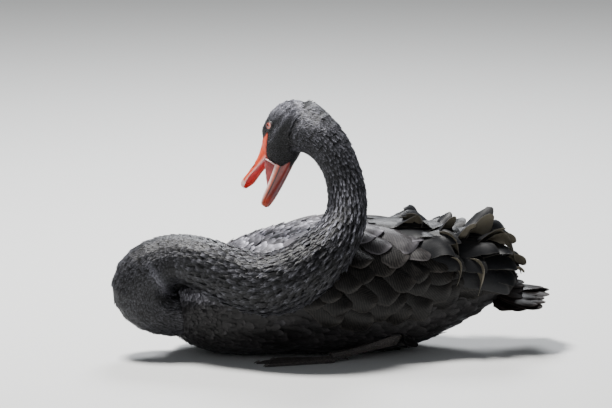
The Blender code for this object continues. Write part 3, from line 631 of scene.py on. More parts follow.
# Neck plumage: feathers that lie from the head down to the breast. They are short and sleek near
# the head, and gather in raised knobs and cords where the neck bends back over the shoulder.
NECK_FINE = 400  # steps of the neck's middle line
# x, y, height above the floating line, half thickness in the plane of the bends, and across it
NECK_LINE = (
    (-150, -5, -6, 40, 50),
    (-184, -12, -1, 38, 48),
    (-213, -20, 0.5, 36.6, 39),
    (-250, -23.1, 12.4, 41.6, 39),
    (-265, -30, 41, 46.6, 39),
    (-250, -36.9, 69.6, 41.6, 39),
    (-213, -40, 81.5, 36.6, 39),
    (-176, -64, 76, 40.5, 39),
    (-134, -86, 63, 45, 41),
    (-92, -106, 57, 47, 43),
    (-50, -115, 74, 45, 43),
    (-22, -113, 96, 41, 40),
    (3, -101, 122, 35, 36),
    (17, -86, 156, 28.5, 30.5),
    (17, -77, 184, 27, 29),
    (3, -70, 228, 28, 29),
    (-26, -60, 261, 36, 30),
    (-48, -49, 268, 42, 28),
)


def curve_through(rows, count):
    """A smooth line through the rows, read at even steps of its length."""
    rows = np.array(rows, float)
    at = np.concatenate([[0], np.cumsum(np.linalg.norm(np.diff(rows[:, :3], axis=0), axis=1))])
    size = len(rows)
    system, right = np.eye(size), np.zeros_like(rows)
    for i in range(1, size - 1):
        before, after = at[i] - at[i - 1], at[i + 1] - at[i]
        system[i, i - 1 : i + 2] = before, 2 * (before + after), after
        right[i] = 6 * ((rows[i + 1] - rows[i]) / after - (rows[i] - rows[i - 1]) / before)
    bend = np.linalg.solve(system, right)
    s = np.linspace(0, at[-1], 30 * size)
    i = np.clip(np.searchsorted(at, s) - 1, 0, size - 2)
    h = (at[i + 1] - at[i])[:, None]
    a = (at[i + 1] - s)[:, None] / h
    b = (s - at[i])[:, None] / h
    fine = a * rows[i] + b * rows[i + 1]
    fine = fine + ((a**3 - a) * bend[i] + (b**3 - b) * bend[i + 1]) * h * h / 6
    run = np.concatenate([[0], np.cumsum(np.linalg.norm(np.diff(fine[:, :3], axis=0), axis=1))])
    even = np.linspace(0, run[-1], count)
    return np.stack([np.interp(even, run, fine[:, k]) for k in range(rows.shape[1])], 1), run[-1]


def neck_frames():
    line, length = curve_through(np.array(NECK_LINE) * MM, NECK_FINE)
    line[:, 2] += WATER
    tangent = unit(np.gradient(line[:, :3], axis=0))
    side, sides = np.array((0.0, 1.0, 0.0)), []
    for t in tangent:
        side = unit(side - t * (side @ t))
        sides.append(side)
    sides = np.array(sides)
    return line, tangent, sides, np.cross(tangent, sides), length


NECK, NECK_RUN, NECK_SIDE, NECK_IN, NECK_LENGTH = neck_frames()
# share of the neck's length from the breast: distance between clumps round the neck and along it, a
# feather's length and width, feathers across a clump, and how far a clump stands proud
NECK_CLUMPS = (
    (0.00, 6.0, 6.6, 10.5, 3.8, 2, 0.0),
    (0.16, 4.8, 5.6, 9.0, 2.8, 2, 0.0),
    (0.28, 4.4, 5.2, 8.0, 2.4, 2, 0.2),
    (0.34, 7.0, 7.0, 9.6, 2.6, 5, 0.6),
    (0.41, 13.0, 11.8, 14.6, 4.4, 7, 1.0),
    (0.56, 12.0, 12.8, 16.0, 4.0, 6, 1.0),
    (0.66, 9.4, 13.6, 17.0, 2.8, 5, 1.0),
    (0.76, 7.0, 11.4, 14.5, 2.0, 5, 1.0),
    (0.86, 5.8, 8.8, 11.5, 1.8, 4, 0.7),
    (0.92, 4.8, 6.6, 9.0, 1.7, 3, 0.3),
    (1.00, 3.4, 4.8, 6.0, 1.6, 3, 0.1),
)
# the coat's lengths, by share of the neck: each keeps below 200,000 triangles
NECK_PARTS = (
    ("breast", 0.01, 0.21),
    ("fold", 0.21, 0.36),
    ("shoulder", 0.36, 0.60),
    ("rise", 0.60, 0.80),
    ("nape", 0.80, 0.99),
)
UNDER_FEATHERS = ((-0.85, 0.1), (-0.3, 0.35), (0.3, 0.1), (0.85, 0.35))  # across a clump, and back
NECK_FINISH = plume_material(
    "neck plumage", (0.007, 0.007, 0.0082, 1), (0.17, 0.17, 0.195, 1), pale=(0.28, 0.28, 0.33, 1),
    rim=0.6, rim_from=0.3, barbs=0.3, sheen=0.06, gloss=0.22
)


def neck_read(table, along):
    grid = np.linspace(0, NECK_LENGTH, NECK_FINE)
    return np.stack([np.interp(along, grid, table[:, k]) for k in range(table.shape[1])], 1)


def neck_spots(along, turn):
    """Feather roots on the hide at places along and round the neck, and which of them are real."""
    row, run, side, inward = (neck_read(t, along) for t in (NECK, NECK_RUN, NECK_SIDE, NECK_IN))
    angle = (2 * math.pi * turn)[:, None]
    ray = inward * np.cos(angle) * row[:, 3:4] + side * np.sin(angle) * row[:, 4:5]
    spot = row[:, :3] + ray * (1 - 3 * MM / np.linalg.norm(ray, axis=1, keepdims=True))
    off, place, normal = nearest(skin_tree, spot)
    keep = (off < 6 * MM) & ((normal * unit(ray)).sum(1) > 0.15)
    return keep, place, normal, unit(run), unit(np.cross(unit(run), unit(ray)))


def fold_highlight_and_shade(points):
    """Painted light along the neck's fold: how far a point is in the pale band of painted sheen,
    and in the painted shade of the fold's slit.
    """
    x, y, z = (points / MM).T
    high = z - WATER / MM + 0.194 * (y + 50)
    line = np.interp(x, (-256, -242, -231, -214, -175), (79, 60, 43, 28, 26))
    band = np.exp(-(((high - line) / np.where(x < -228, 13, 8.5)) ** 2))
    band = band * smooth(-264, -246, x) * smooth(-160, -176, x) * smooth(0, -15, y)
    fold_shade = np.exp(-(((x + 195) / 23) ** 2) - ((high - 43) / 8) ** 2)
    return band, np.clip(fold_shade * 1.5, 0, 1)


def clump_rows(root, turned, *rest):
    columns = np.broadcast_arrays(root, turned, *(np.asarray(v, float) for v in rest))
    return np.stack(columns, 1)


def neck_clumps(first, last, draw):
    """One row for each feather: its root's place along and round the neck, its place across the
    clump and its layer there, the clump's lot, and the clump's sizes."""
    table = np.array(NECK_CLUMPS)
    at, odd, found = first * NECK_LENGTH, 0, []
    while at < last * NECK_LENGTH:
        sizes = [np.interp(at / NECK_LENGTH, table[:, 0], column) for column in table.T[1:]]
        pitch, step, length, width, fine, proud = sizes
        girth = math.pi * float((neck_read(NECK, [at])[0, 3:5]).sum())
        count = max(int(girth / (pitch * MM)), 8)
        turns = (np.arange(count) + 0.5 * (odd % 2) + draw.uniform(-0.22, 0.22, count)) / count
        base = at + draw.uniform(-0.28, 0.28, count) * step * MM
        broad = draw.uniform(0.38, 0.6, count)
        lot = draw.random(count)
        fine = int(round(fine))
        # a loose clump's roots are spread over all its ground, a proud one's are drawn together
        spread = 0.5 - 0.30 * proud
        for i in range(fine):
            for layer in range(3 if proud < 0.5 else 2):
                across = (i + 0.5) / fine * 2 - 1 + draw.uniform(-0.5, 0.5, count) / fine
                back = layer * (1 - proud) / 3 + draw.uniform(-0.12, 0.12, count)
                root = base + (0.3 - back) * step * MM
                turned = turns + across * broad * spread * 2 / count
                found.append(clump_rows(root, turned, across, layer, lot, *sizes[:4], proud))
        # flat feathers beneath the proud clumps cover the hide between them; they are painted near
        # black, as painted shade in the gaps between the knobs
        for across, back in UNDER_FEATHERS * (2 if proud > 0.1 else 0):
            back = (back + draw.uniform(0, 0.6)) + draw.uniform(-0.1, 0.1, count)
            root, turned = base + (0.5 - back) * step * MM, turns + across * 0.5 / count
            sizes = pitch, step, length * 0.8, width * 1.7, 0.0
            found.append(clump_rows(root, turned, across, -1, 0, *sizes))
        at += step * MM
        odd += 1
    return np.concatenate(found)


def neck_plumage(name, first, last, seed):
    draw = np.random.default_rng(seed)
    rows = neck_clumps(first, last, draw)
    keep, place, normal, run, around = neck_spots(rows[:, 0], rows[:, 1])
    rows, place, normal, run, around = (v[keep] for v in (rows, place, normal, run, around))
    across, layer, lot, pitch, _, length, width, proud = rows[:, 2:].T
    count = len(rows)
    crest = np.clip(1 - across**2, 0, 1)
    # a clump's feathers fan out from its root to a raised, rounded end, with a dark gap beyond it
    place = place - normal * ((0.5 + 0.4 * proud - 1.0 * layer * proud) * MM)[:, None]
    fan = 0.16 * proud * pitch / length
    ahead = -run + draw.normal(0, 0.06, (count, 3)) - around * (across * fan)[:, None]
    long = length * MM * draw.uniform(0.9, 1.1, count)
    long = long * (1 - proud * (0.24 * across**2 + 0.2 * layer))
    lift = 15 * (1 - proud) + proud * (17 + 16 * lot) * (0.45 + 0.55 * crest)
    size = tuft_form(
        long,
        width * MM * draw.uniform(0.85, 1.2, count),
        lift + draw.normal(0, 1.2, count),
        -14 - proud * (6 + 16 * lot) + draw.normal(0, 2.5, count),
        draw.normal(0, 6, count) + across * 44 * proud,
    )
    # painted shading of a clump's round form: middle light, flanks and lower layer dark;
    # sides that face up are painted lighter and paler, as painted light
    ridge = smooth(0.95, 0.25, np.abs(across))
    upper = smooth(-0.6, 0.7, normal[:, 2])
    loose = 0.1 + 0.5 * draw.random(count) ** 1.5
    raised = (0.28 + 0.7 * lot) * ridge**1.5 + 0.05 * draw.random(count) - 0.05
    tone = loose * (1 - proud) + proud * raised
    tone = tone * (1 - 0.4 * proud * (layer < 0.5))
    # painted shade: the flat feathers under the clumps are near black
    tone = np.where(layer < -0.5, 0.04, tone)
    tone = tone * (0.65 + 0.6 * mottle(place, 24 * MM)) * (0.6 + 0.4 * upper)
    # painted light: the upright rise of the neck is painted lighter and paler, for the sky's light
    # on it
    share = rows[:, 0] / NECK_LENGTH
    rise_painted_light = smooth(0.66, 0.74, share)
    tone = tone * (1 + 1.2 * rise_painted_light)
    pale = 0.14 * draw.random(count) ** 3 * upper + 0.16 * ridge * proud * lot * draw.random(count)
    pale = pale + 0.4 * rise_painted_light * ridge * (0.3 + 0.7 * lot) * draw.random(count)
    # painted sheen on the pale band along the fold, and painted shade in the fold's slit
    band, fold_shade = fold_highlight_and_shade(place)
    pale = (pale + 0.6 * band * draw.uniform(0.7, 1, count)) * (1 - fold_shade)
    tone = np.maximum(tone, 0.4 * band) * (1 - fold_shade)
    shade = plume_shade(tone, np.maximum(long, 6 * MM), pale)
    unwrap = np.stack([rows[:, 1] % 1.0, (share - first) / (last - first)], 1)
    return tuft_coat(name, place, ahead, normal, size, unwrap * 0.94 + 0.03, shade, NECK_FINISH)


for number, (label, first, last) in enumerate(NECK_PARTS):
    coat = neck_plumage("neck_plumage_" + label, first, last, 23 + number)
    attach(coat, "root")


def point_tree(points):
    tree = KDTree(len(points))
    for i, point in enumerate(points):
        tree.insert(point, i)
    tree.balance()
    return tree


def collar_plumage():
    """Short feathers on the hide between the rows of the head and those of the neck."""
    draw = np.random.default_rng(29)
    place, normal = (read(skin.data.polygons, key, 3) for key in ("center", "normal"))
    local = to_head(place)
    keep = (place[:, 2] > 0.22) & (local[:, 0] < -40 * MM)
    place, normal = place[keep], normal[keep]
    roots, line = point_tree(np.concatenate(ROOTS)), point_tree(NECK[:, :3])
    keep = np.array([roots.find(p)[2] > 1.9 * MM for p in place])
    place, normal = (np.repeat(v[keep], 3, axis=0) for v in (place, normal))
    count = len(place)
    shift = draw.uniform(-1.5, 1.5, (count, 3)) * MM
    place = place + shift - normal * (shift * normal).sum(1, keepdims=True)
    run = NECK_RUN[[line.find(p)[1] for p in place]]
    local = to_head(place)
    share = (smooth(-98 * MM, -80 * MM, local[:, 0]) * smooth(0.352, 0.335, place[:, 2]))[:, None]
    ahead = -run * (1 - share) - HEAD_AXES[0] * share + draw.normal(0, 0.08, (count, 3))
    flat = smooth(0.35, 0.75, normal[:, 2])
    length = 7.0 * MM * draw.uniform(0.85, 1.2, count) * (1 - 0.45 * flat)
    size = tuft_form(
        length,
        2.1 * MM * draw.uniform(0.85, 1.2, count),
        draw.uniform(12, 18, count) * (1 - 0.8 * flat),
        draw.uniform(-18, -10, count) - 10 * flat,
        draw.normal(0, 10, count),
    )
    # sides that face up are painted lighter and paler, as painted light
    upper = smooth(-0.6, 0.7, normal[:, 2])
    tone = (0.15 + 0.6 * draw.random(count)) * (0.6 + 0.4 * upper)
    pale = (0.1 + 0.5 * draw.random(count) ** 2) * upper
    shade = plume_shade(tone, length, 0.5 * pale)
    unwrap = np.stack([local[:, 2] / 0.08 + 0.5, local[:, 0] / 0.15 + 1.0], 1).clip(0.02, 0.98)
    root = place - normal * 0.4 * MM
    return tuft_coat("collar_plumage", root, ahead, normal, size, unwrap, shade, NECK_FINISH)


coat = collar_plumage()
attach(coat, "root")
# Body plumage: the soft contour feathers of breast, back, flanks, belly and rump, laid from the
# breast towards the tail in even, overlapping rows.
BODY_X = (-229 * MM, 233 * MM)
BODY_PITCH = 8.0 * MM
BODY_FEATHER = 25 * MM
BODY_FEATHER_WIDTH = 13.5 * MM
BODY_STATIONS = (0.0, 0.35, 0.7, 0.91, 1.0)
BODY_WIDTHS = (0.45, 0.95, 1.0, 0.66, 0.0)
HULL_COLUMNS, HULL_TURNS = 96, 144
WING_X = (-78 * MM, 236 * MM)
TORSO_TREE = tree_of(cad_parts["torso"])


def share_of(span, x):
    return (x - span[0]) / (span[1] - span[0])


def hull_table():
    """How far the body's outline is from its middle line, by place along it and turn round it."""
    xs = np.linspace(*BODY_X, HULL_COLUMNS)
    middle = []
    for x in xs:
        top = TORSO_TREE.ray_cast(Vector((x, 0.004, 1)), Vector((0, 0, -1)))[0]
        low = TORSO_TREE.ray_cast(Vector((x, 0.004, -1)), Vector((0, 0, 1)))[0]
        middle.append((top[2] + low[2]) / 2 if top and low else np.nan)
    middle = np.array(middle)
    good = ~np.isnan(middle)
    middle = np.interp(xs, xs[good], middle[good])
    reach = np.zeros((HULL_COLUMNS, HULL_TURNS))
    for i, x in enumerate(xs):
        for k in range(HULL_TURNS):
            a = 2 * math.pi * k / HULL_TURNS
            ray = Vector((0, -math.sin(a), math.cos(a)))
            centre = Vector((x, 0, middle[i]))
            hit = TORSO_TREE.ray_cast(centre + ray * 0.5, -ray)
            if hit[0] is not None:
                reach[i, k] = max(0.5 - hit[3], 2 * MM)
    mirror = reach[:, (-np.arange(HULL_TURNS)) % HULL_TURNS]
    return xs, middle, np.maximum(reach, mirror)


HULL_X, HULL_MIDDLE, HULL_REACH = hull_table()


def hull_point(x, turn, out=0.0):
    """Points of the body's outline at x, turned from the back (0) over the left side (0.25)."""
    x, turn = np.broadcast_arrays(np.asarray(x, float), np.asarray(turn, float))
    i = np.clip(share_of(HULL_X[:2], x), 0, HULL_COLUMNS - 1.001)
    k = (turn % 1.0) * HULL_TURNS
    i0, k0 = np.floor(i).astype(int), np.floor(k).astype(int)
    on, over = i - i0, k - k0
    k0, k1 = k0 % HULL_TURNS, (k0 + 1) % HULL_TURNS
    reach = (
        HULL_REACH[i0, k0] * (1 - on) * (1 - over)
        + HULL_REACH[i0 + 1, k0] * on * (1 - over)
        + HULL_REACH[i0, k1] * (1 - on) * over
        + HULL_REACH[i0 + 1, k1] * on * over
        + out
    )
    z = np.interp(x, HULL_X, HULL_MIDDLE)
    a = 2 * math.pi * turn
    return np.stack([x, -reach * np.sin(a), z + reach * np.cos(a)], -1)


def hull_frame(x, turn, out=0.0):
    """Place, direction towards the tail and outward normal on the body's outline."""
    place = hull_point(x, turn, out)
    step = 5 * MM
    tail = unit(hull_point(x + step, turn, out) - hull_point(x - step, turn, out))
    around = unit(hull_point(x, turn + 0.012, out) - hull_point(x, turn - 0.012, out))
    normal = unit(np.cross(tail, around))
    outward = place - np.stack([x, 0 * x, np.interp(x, HULL_X, HULL_MIDDLE)], -1)
    normal = normal * np.sign((normal * outward).sum(-1, keepdims=True))
    return place, tail, normal


def wing_band(x):
    """Where the folded wing starts and ends round the body, as turns from the back."""
    share = np.clip(share_of(WING_X, x), 0, 1)
    high = 34 - 29 * smooth(0, 0.3, share) + 6 * smooth(0.75, 1, share)
    low = 72 + 30 * smooth(0, 0.3, share) - 36 * smooth(0.6, 1, share)
    return high / 360, low / 360


BODY_FINISH = plume_material(
    "body plumage", (0.0055, 0.005, 0.0052, 1), (0.045, 0.042, 0.044, 1),
    pale=(0.55, 0.54, 0.62, 1), rim=0.55, rim_from=0.45, side=0.8, barbs=1.0, sheen=0.04, gloss=0.2
)


def breast_grow(x):
    """The feathers of the breast beside the neck are small and soft; they grow towards the back."""
    return 0.44 + 0.56 * smooth(-190 * MM, -115 * MM, x)


def hull_girth(x):
    column = int(np.clip(share_of(HULL_X[:2], x), 0, HULL_COLUMNS - 1))
    return float(2 * math.pi * np.mean(HULL_REACH[column]))


def body_pitch(x):
    return BODY_PITCH * breast_grow(x)


def body_plumage():
    draw = np.random.default_rng(37)
    x, turn = grid_rows(*BODY_X, body_pitch, body_pitch, hull_girth, draw)
    x = np.clip(x, *BODY_X)
    place, tail, normal = hull_frame(x, turn, -BODY_COAT)
    folded = np.minimum(turn, 1 - turn)
    high, low = wing_band(x)
    under_wing = (folded > high + 0.05) & (folded < low - 0.06)
    keep = ~(under_wing & (x > WING_X[0] + 30 * MM) & (x < 215 * MM))
    keep &= nearest(skin_tree, place)[0] < 7 * MM
    keep &= fold_highlight_and_shade(place)[1] < 0.75
    x, turn, place, tail, normal, folded = (v[keep] for v in (x, turn, place, tail, normal, folded))
    count = len(x)
    rump = smooth(150 * MM, 230 * MM, x)
    grow = breast_grow(x) + 0.15 * rump
    belly = smooth(0.36, 0.44, folded)
    length = BODY_FEATHER * grow * draw.uniform(0.85, 1.2, count)
    width = BODY_FEATHER_WIDTH * grow * draw.uniform(0.85, 1.15, count)
    size = tuft_form(
        length,
        width,
        15 - 9 * belly + draw.normal(0, 2.0, count),
        -16 + 8 * belly + draw.normal(0, 4, count),
        draw.normal(0, 7, count),
        0.10,
    )
    # the mantle between the wings is paler: partly its pale feather rims, partly painted sheen from
    # above, stronger on the left side as painted light
    mantle_rims_and_sheen = smooth(0.25, 0.09, folded + draw.normal(0, 0.02, count)) * smooth(30 * MM, -20 * MM, x)
    mantle_rims_and_sheen = mantle_rims_and_sheen * smooth(-170 * MM, -135 * MM, x) * np.where(turn < 0.5, 1.0, 0.42)
    # painted sheen on the pale band along the neck's fold, and painted shade in the fold's slit
    band, fold_shade = fold_highlight_and_shade(place)
    pale = mantle_rims_and_sheen * draw.uniform(0.5, 1, count) + 0.5 * band * draw.uniform(0.8, 1, count)
    tone = draw.random(count) * (1 - fold_shade)
    tone = np.maximum(tone * (1 - 0.45 * smooth(0.2, 0.3, folded)), 0.5 * band)
    shade = plume_shade(tone, length, pale)
    unwrap = np.stack([turn, share_of(BODY_X, x)], 1) * 0.98 + 0.01
    ahead = tail + draw.normal(0, 0.07, (count, 3))
    return tuft_coat(
        "body_plumage", place, ahead, normal, size, unwrap, shade, BODY_FINISH,
        BODY_STATIONS, BODY_WIDTHS,
    )


coat = body_plumage()
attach(coat, "root")


# Wings: rounded coverts in lapping rows over the folded wing, scapulars over the shoulder with pale
# lacy rims and painted sheen, and the long inner feathers whose broad ends curl up in a ruffle
# above the rump.
BLADE_STATIONS = 20
BLADE_COLUMNS = 11
COVERT_STEP = 25 * MM
COVERT_ROW = 30 * MM
WING_RADIUS = 105 * MM
WING_FINISH = plume_material(
    "wing coverts", (0.003, 0.0028, 0.0027, 1), (0.08, 0.071, 0.063, 1), (0.03, 0.027, 0.022, 1),
    (0.52, 0.50, 0.57, 1), rim=0.6, rim_from=0.7, side=1.0, barbs=1.0, sheen=0.03, gloss=0.18
)
RUFFLE_FINISH = plume_material(
    "ruffled inner feathers", (0.0032, 0.0038, 0.0056, 1), (0.05, 0.049, 0.047, 1),
    (0.14, 0.125, 0.095, 1), rim=0.6, rim_from=0.8, side=1.0, barbs=0.5, sheen=0.03, gloss=0.22
)


def grid_edge(rows, columns):
    """The corners round the edge of a grid, in order."""
    cells = rows * columns
    edge = list(range(columns)) + [(i + 1) * columns - 1 for i in range(1, rows)]
    edge += [cells - 2 - k for k in range(columns - 1)]
    return edge + [i * columns for i in range(rows - 2, 0, -1)]


def blade_triangles():
    """A large feather's faces: its upper side, its underside, and the rim between the two."""
    cells, upper, rim = BLADE_STATIONS * BLADE_COLUMNS, [], []
    for i in range(BLADE_STATIONS - 1):
        for k in range(BLADE_COLUMNS - 1):
            a, b = i * BLADE_COLUMNS + k, (i + 1) * BLADE_COLUMNS + k
            upper += [(a, b, b + 1), (a, b + 1, a + 1)]
    edge = grid_edge(BLADE_STATIONS, BLADE_COLUMNS)
    for a, b in zip(edge, edge[1:] + edge[:1]):
        rim += [(a, b + cells, b), (a, a + cells, b + cells)]
    return upper + [(a + cells, c + cells, b + cells) for a, b, c in upper] + rim


def blade_coat(name, start, toward, tip, normal, form, unwrap, shade, finish):
    """Large feathers in one mesh. Each bows from its root past a point it heads toward, and turns
    at its end into its last direction.

    form: width, cup, curl, twist, ruffle, bluntness, slant of the end, and the last direction's
    x, y, z, as columns.
    """
    width, cup, curl, twist, ruffle, blunt, slant = form[:, :7].T
    last = form[:, 7:10]
    count = len(start)
    draw = np.random.default_rng(len(name) * 7)
    shares = np.sin(np.linspace(0, 1, BLADE_STATIONS) ** 0.8 * math.pi / 2)
    columns = np.linspace(-1, 1, BLADE_COLUMNS)
    phase = draw.uniform(0, 6.28, count)
    top, under = [], []
    early = start + (toward - start) * 0.7
    given = np.abs(last).sum(1, keepdims=True) > 0
    late = np.where(given, tip - last, toward + (tip - toward) * 0.35)
    up = normal
    for share in shares:
        rest = 1 - share
        here = start * rest**3 + early * 3 * share * rest**2
        here = here + late * 3 * share**2 * rest + tip * share**3
        run = (early - start) * rest**2 + (late - early) * 2 * share * rest
        run = unit(run + (tip - late) * share**2)
        up = unit(up - run * (up * run).sum(1, keepdims=True))
        side = np.cross(run, up)
        turned = twist * smooth(0.4, 0.92, share)
        c, s = np.cos(turned)[:, None], np.sin(turned)[:, None]
        across, face = side * c + up * s, up * c - side * s
        stem = 0.3 + 0.7 * smooth(0.0, 0.34, share)
        tail = 1 - np.clip((share - 0.6) / 0.402, 0, 1) ** (1.8 + 3.4 * blunt**2)
        half = width / 2 * stem * np.sqrt(np.maximum(tail, 0.0004))
        thick = (0.45 - 0.2 * share) * MM
        for column in columns:
            fray = 1 + draw.uniform(-0.07, 0.02, count) * (abs(column) > 0.9) * (share > 0.2)
            wide = half * column * fray
            drop = cup * half * 2 * column**2
            scroll = curl * np.abs(column) ** 2.2 * share**3 * half
            wave = ruffle * np.sin(phase + 9 * share + 2.5 * column) * np.abs(column) * share * half
            shift = -drop + scroll + wave
            slip = run * (slant * half * column * smooth(0.55, 1.0, share))[:, None]
            spot = here + slip + across * wide[:, None] + face * shift[:, None]
            ridge = thick * (1 - 0.55 * abs(column))
            top.append(spot + face * ridge)
            under.append(spot - face * ridge)
    points = np.stack(top + under, 1)
    local = np.array([((c + 1) / 2, s) for s in shares for c in columns] * 2)
    tint = np.repeat(shade[:, None], len(local), axis=1)
    tint[:, len(top) :, 3] = 1.0
    return coat_mesh(name, points, blade_triangles(), local, unwrap, tint, finish, 50)


def wing_out(x, band):
    """How far the wing stands off the body's outline."""
    share = np.clip(share_of(WING_X, x), 0, 1)
    body = smooth(0, 0.12, share) * smooth(0, 0.2, 1 - share + 0.02)
    arch = np.maximum(np.sin(math.pi * np.clip(band, 0, 1)), 0) ** 0.35
    return (1 + 6.0 * body * arch) * MM


def on_side(side, *places):
    """The left wing's places, or the right wing's, which mirror them."""
    return [place * np.array((1, side, 1)) for place in places]


def wing_turn(x, band):
    high, low = wing_band(x)
    return high + (low - high) * band


def wing_coverts(side, seed):
    draw = np.random.default_rng(seed)
    xs, bands = [], []
    at, odd = WING_X[0] + 2 * MM, 0
    while at < 186 * MM:
        high, low = wing_band(at)
        arc = (low - high) * 2 * math.pi * WING_RADIUS
        rows = max(int(arc / COVERT_ROW), 4)
        band = (np.arange(rows) + 0.2 + 0.5 * (odd % 2)) / rows
        xs.append(at + draw.uniform(-6, 6, rows) * MM)
        bands.append(0.02 + 0.95 * band + draw.uniform(-0.035, 0.035, rows))
        at += COVERT_STEP
        odd += 1
    x, band = np.concatenate(xs), np.concatenate(bands)
    share = share_of(WING_X, x)
    count = len(x)
    length = (54 + 22 * smooth(0.1, 0.9, share)) * MM * draw.uniform(0.85, 1.12, count)
    width = (46 + 6 * smooth(0.05, 0.5, share)) * MM * draw.uniform(0.88, 1.12, count)
    drop = (0.27 - 0.16 * share) * (1 - 0.4 * band)
    start, _, normal = hull_frame(x, wing_turn(x, band), wing_out(x, band) - 4 * MM)
    mid = x + length * 0.5
    toward = hull_point(mid, wing_turn(mid, band + drop * 0.5), wing_out(mid, band) + 3.5 * MM)
    end = np.minimum(x + length, 262 * MM)
    last = np.minimum(end, 230 * MM)
    rise = draw.uniform(2.0, 9.0, count) * MM
    turn = wing_turn(last, np.minimum(band + drop, 1.05))
    tip = hull_point(last, turn, wing_out(last, band) + rise)
    tip[:, 0] = end
    roll = math.radians(9) * side
    form = np.stack(
        [
            width,
            draw.uniform(0.12, 0.22, count),
            draw.uniform(-0.35, 0.05, count),
            np.full(count, roll) + draw.normal(0, 0.13, count),
            draw.uniform(0.0, 0.09, count),
            draw.uniform(0.6, 0.85, count),
            *np.zeros((4, count)),
        ],
        1,
    )
    # painted light: rows high on the wing, facing up, are painted lighter and paler, partly pale
    # rims, partly painted sheen, and low rows darker as painted shade; the coverts darken towards
    # the tail, and the right wing's paleness is weaker, as painted light
    pale = smooth(0.4, 0.0, band) * smooth(150 * MM, 40 * MM, x)
    tone = 0.06 + 0.4 * draw.random(count) ** 1.4 + 0.35 * smooth(0.5, 0.0, band)
    tone = tone * (1 - 0.75 * smooth(0.2, 0.65, band)) * (1 - 0.35 * smooth(40 * MM, 130 * MM, x))
    pale = pale * (0.6 + 0.4 * smooth(30 * MM, -30 * MM, x)) * draw.uniform(0.5, 1, count)
    pale = pale * (1 if side > 0 else 0.45)
    tone = np.maximum(tone, 0.45 * pale * smooth(20 * MM, -20 * MM, x))
    shade = plume_shade(tone, length, pale)
    unwrap = np.stack([band / 1.1, share], 1) * 0.96 + 0.02
    return *on_side(side, start, toward, tip, normal), form, unwrap, shade


# root x, root's share of the wing from the back, tip x, tip y, tip height above the floating line,
# width, twist in degrees, last direction's pitch in degrees, and the length of its bend
RUFFLES = (
    (62, 0.10, 118, 26, 132, 26, 60, 25, 22),
    (84, 0.22, 140, 40, 112, 30, 20, -20, 20),
    (100, 0.10, 158, 16, 121, 28, 40, 10, 24),
    (112, 0.16, 174, 22, 124, 34, 75, 18, 30),
    (104, 0.42, 166, 62, 96, 34, 15, -30, 22),
    (112, 0.34, 172, 50, 112, 32, 8, -8, 20),
    (130, 0.26, 196, 36, 117, 34, 85, 10, 30),
    (144, 0.12, 228, 20, 124, 38, 90, 22, 40),
    (140, 0.40, 226, 50, 98, 32, 20, -6, 24),
    (118, 0.56, 180, 66, 79, 32, 10, -12, 20),
    (146, 0.24, 238, 30, 112, 34, 70, 8, 34),
    (156, 0.14, 250, 22, 92, 36, 100, -40, 34),
    (158, 0.36, 250, 44, 88, 34, 40, -30, 24),
    (142, 0.50, 214, 58, 74, 34, 8, -10, 20),
    (164, 0.26, 262, 22, 64, 32, 90, -60, 26),
    (162, 0.50, 256, 48, 70, 32, 30, -26, 22),
    (168, 0.66, 256, 48, 50, 32, 30, -30, 22),
    (172, 0.40, 266, 30, 56, 28, 70, -60, 20),
    (160, 0.82, 246, 54, 40, 30, 10, -20, 20),
)
# feathers that lie flat along the back, between the two ruffles
BACK_FEATHERS = (
    (52, 0.04, 116, 6, 126, 34, 0, -4, 18),
    (70, 0.06, 134, 14, 124, 34, 0, -6, 18),
    (88, 0.03, 152, 5, 121, 34, 0, -6, 18),
    (108, 0.05, 176, 10, 116, 36, 0, -8, 20),
    (130, 0.04, 206, 8, 108, 38, 0, -8, 20),
    (150, 0.08, 236, 14, 96, 38, 0, -14, 20),
)
# the ends of feathers that hang over at a knee: the knee's and the end's x, y and height above the
# floating line, and the width
FLAPS = (
    (166, 50, 113, 177, 56, 76, 24),
    (178, 66, 79, 172, 72, 44, 22),
    (208, 58, 75, 203, 62, 28, 26),
    (243, 28, 110, 256, 32, 72, 28),
    (254, 24, 72, 266, 26, 52, 20),
    (122, 26, 134, 127, 34, 120, 20),
    (118, 12, 126, 142, 14, 113, 34),
)


def above_water(columns):
    """Places from columns of x, distance to the left, and height above the floating line, in mm."""
    return (columns * (1, -1, 1) + (0, 0, WATER / MM)) * MM


def flaps(side, seed):
    draw = np.random.default_rng(seed)
    table = np.array(FLAPS, float)
    knee, end = above_water(table[:, :3]), above_water(table[:, 3:6])
    count = len(knee)
    start = knee + np.array((-16, 6, 1)) * MM
    toward = knee + np.array((7, -5, 3)) * MM
    bend = end - (knee + np.array((9, -6, -4)) * MM)
    form = np.stack(
        [
            table[:, 6] * MM,
            draw.uniform(0.1, 0.16, count),
            draw.uniform(0.1, 0.3, count),
            np.full(count, -0.5 * side),
            draw.uniform(0.05, 0.1, count),
            draw.uniform(0.35, 0.6, count),
            np.full(count, 0.5 * side),
            *(bend * 0.7).T,
        ],
        1,
    )
    form[:, 8] *= side
    normal = np.tile((0.25, 0.75, 0.6), (count, 1))
    shade = plume_shade(draw.uniform(0.3, 0.6, count), np.full(count, 0.05), 0 * bend[:, 0])
    unwrap = np.stack([0.3 + 0.2 * np.arange(count), np.full(count, 0.5)], 1)
    return *on_side(side, start, toward, end, normal), form, unwrap, shade


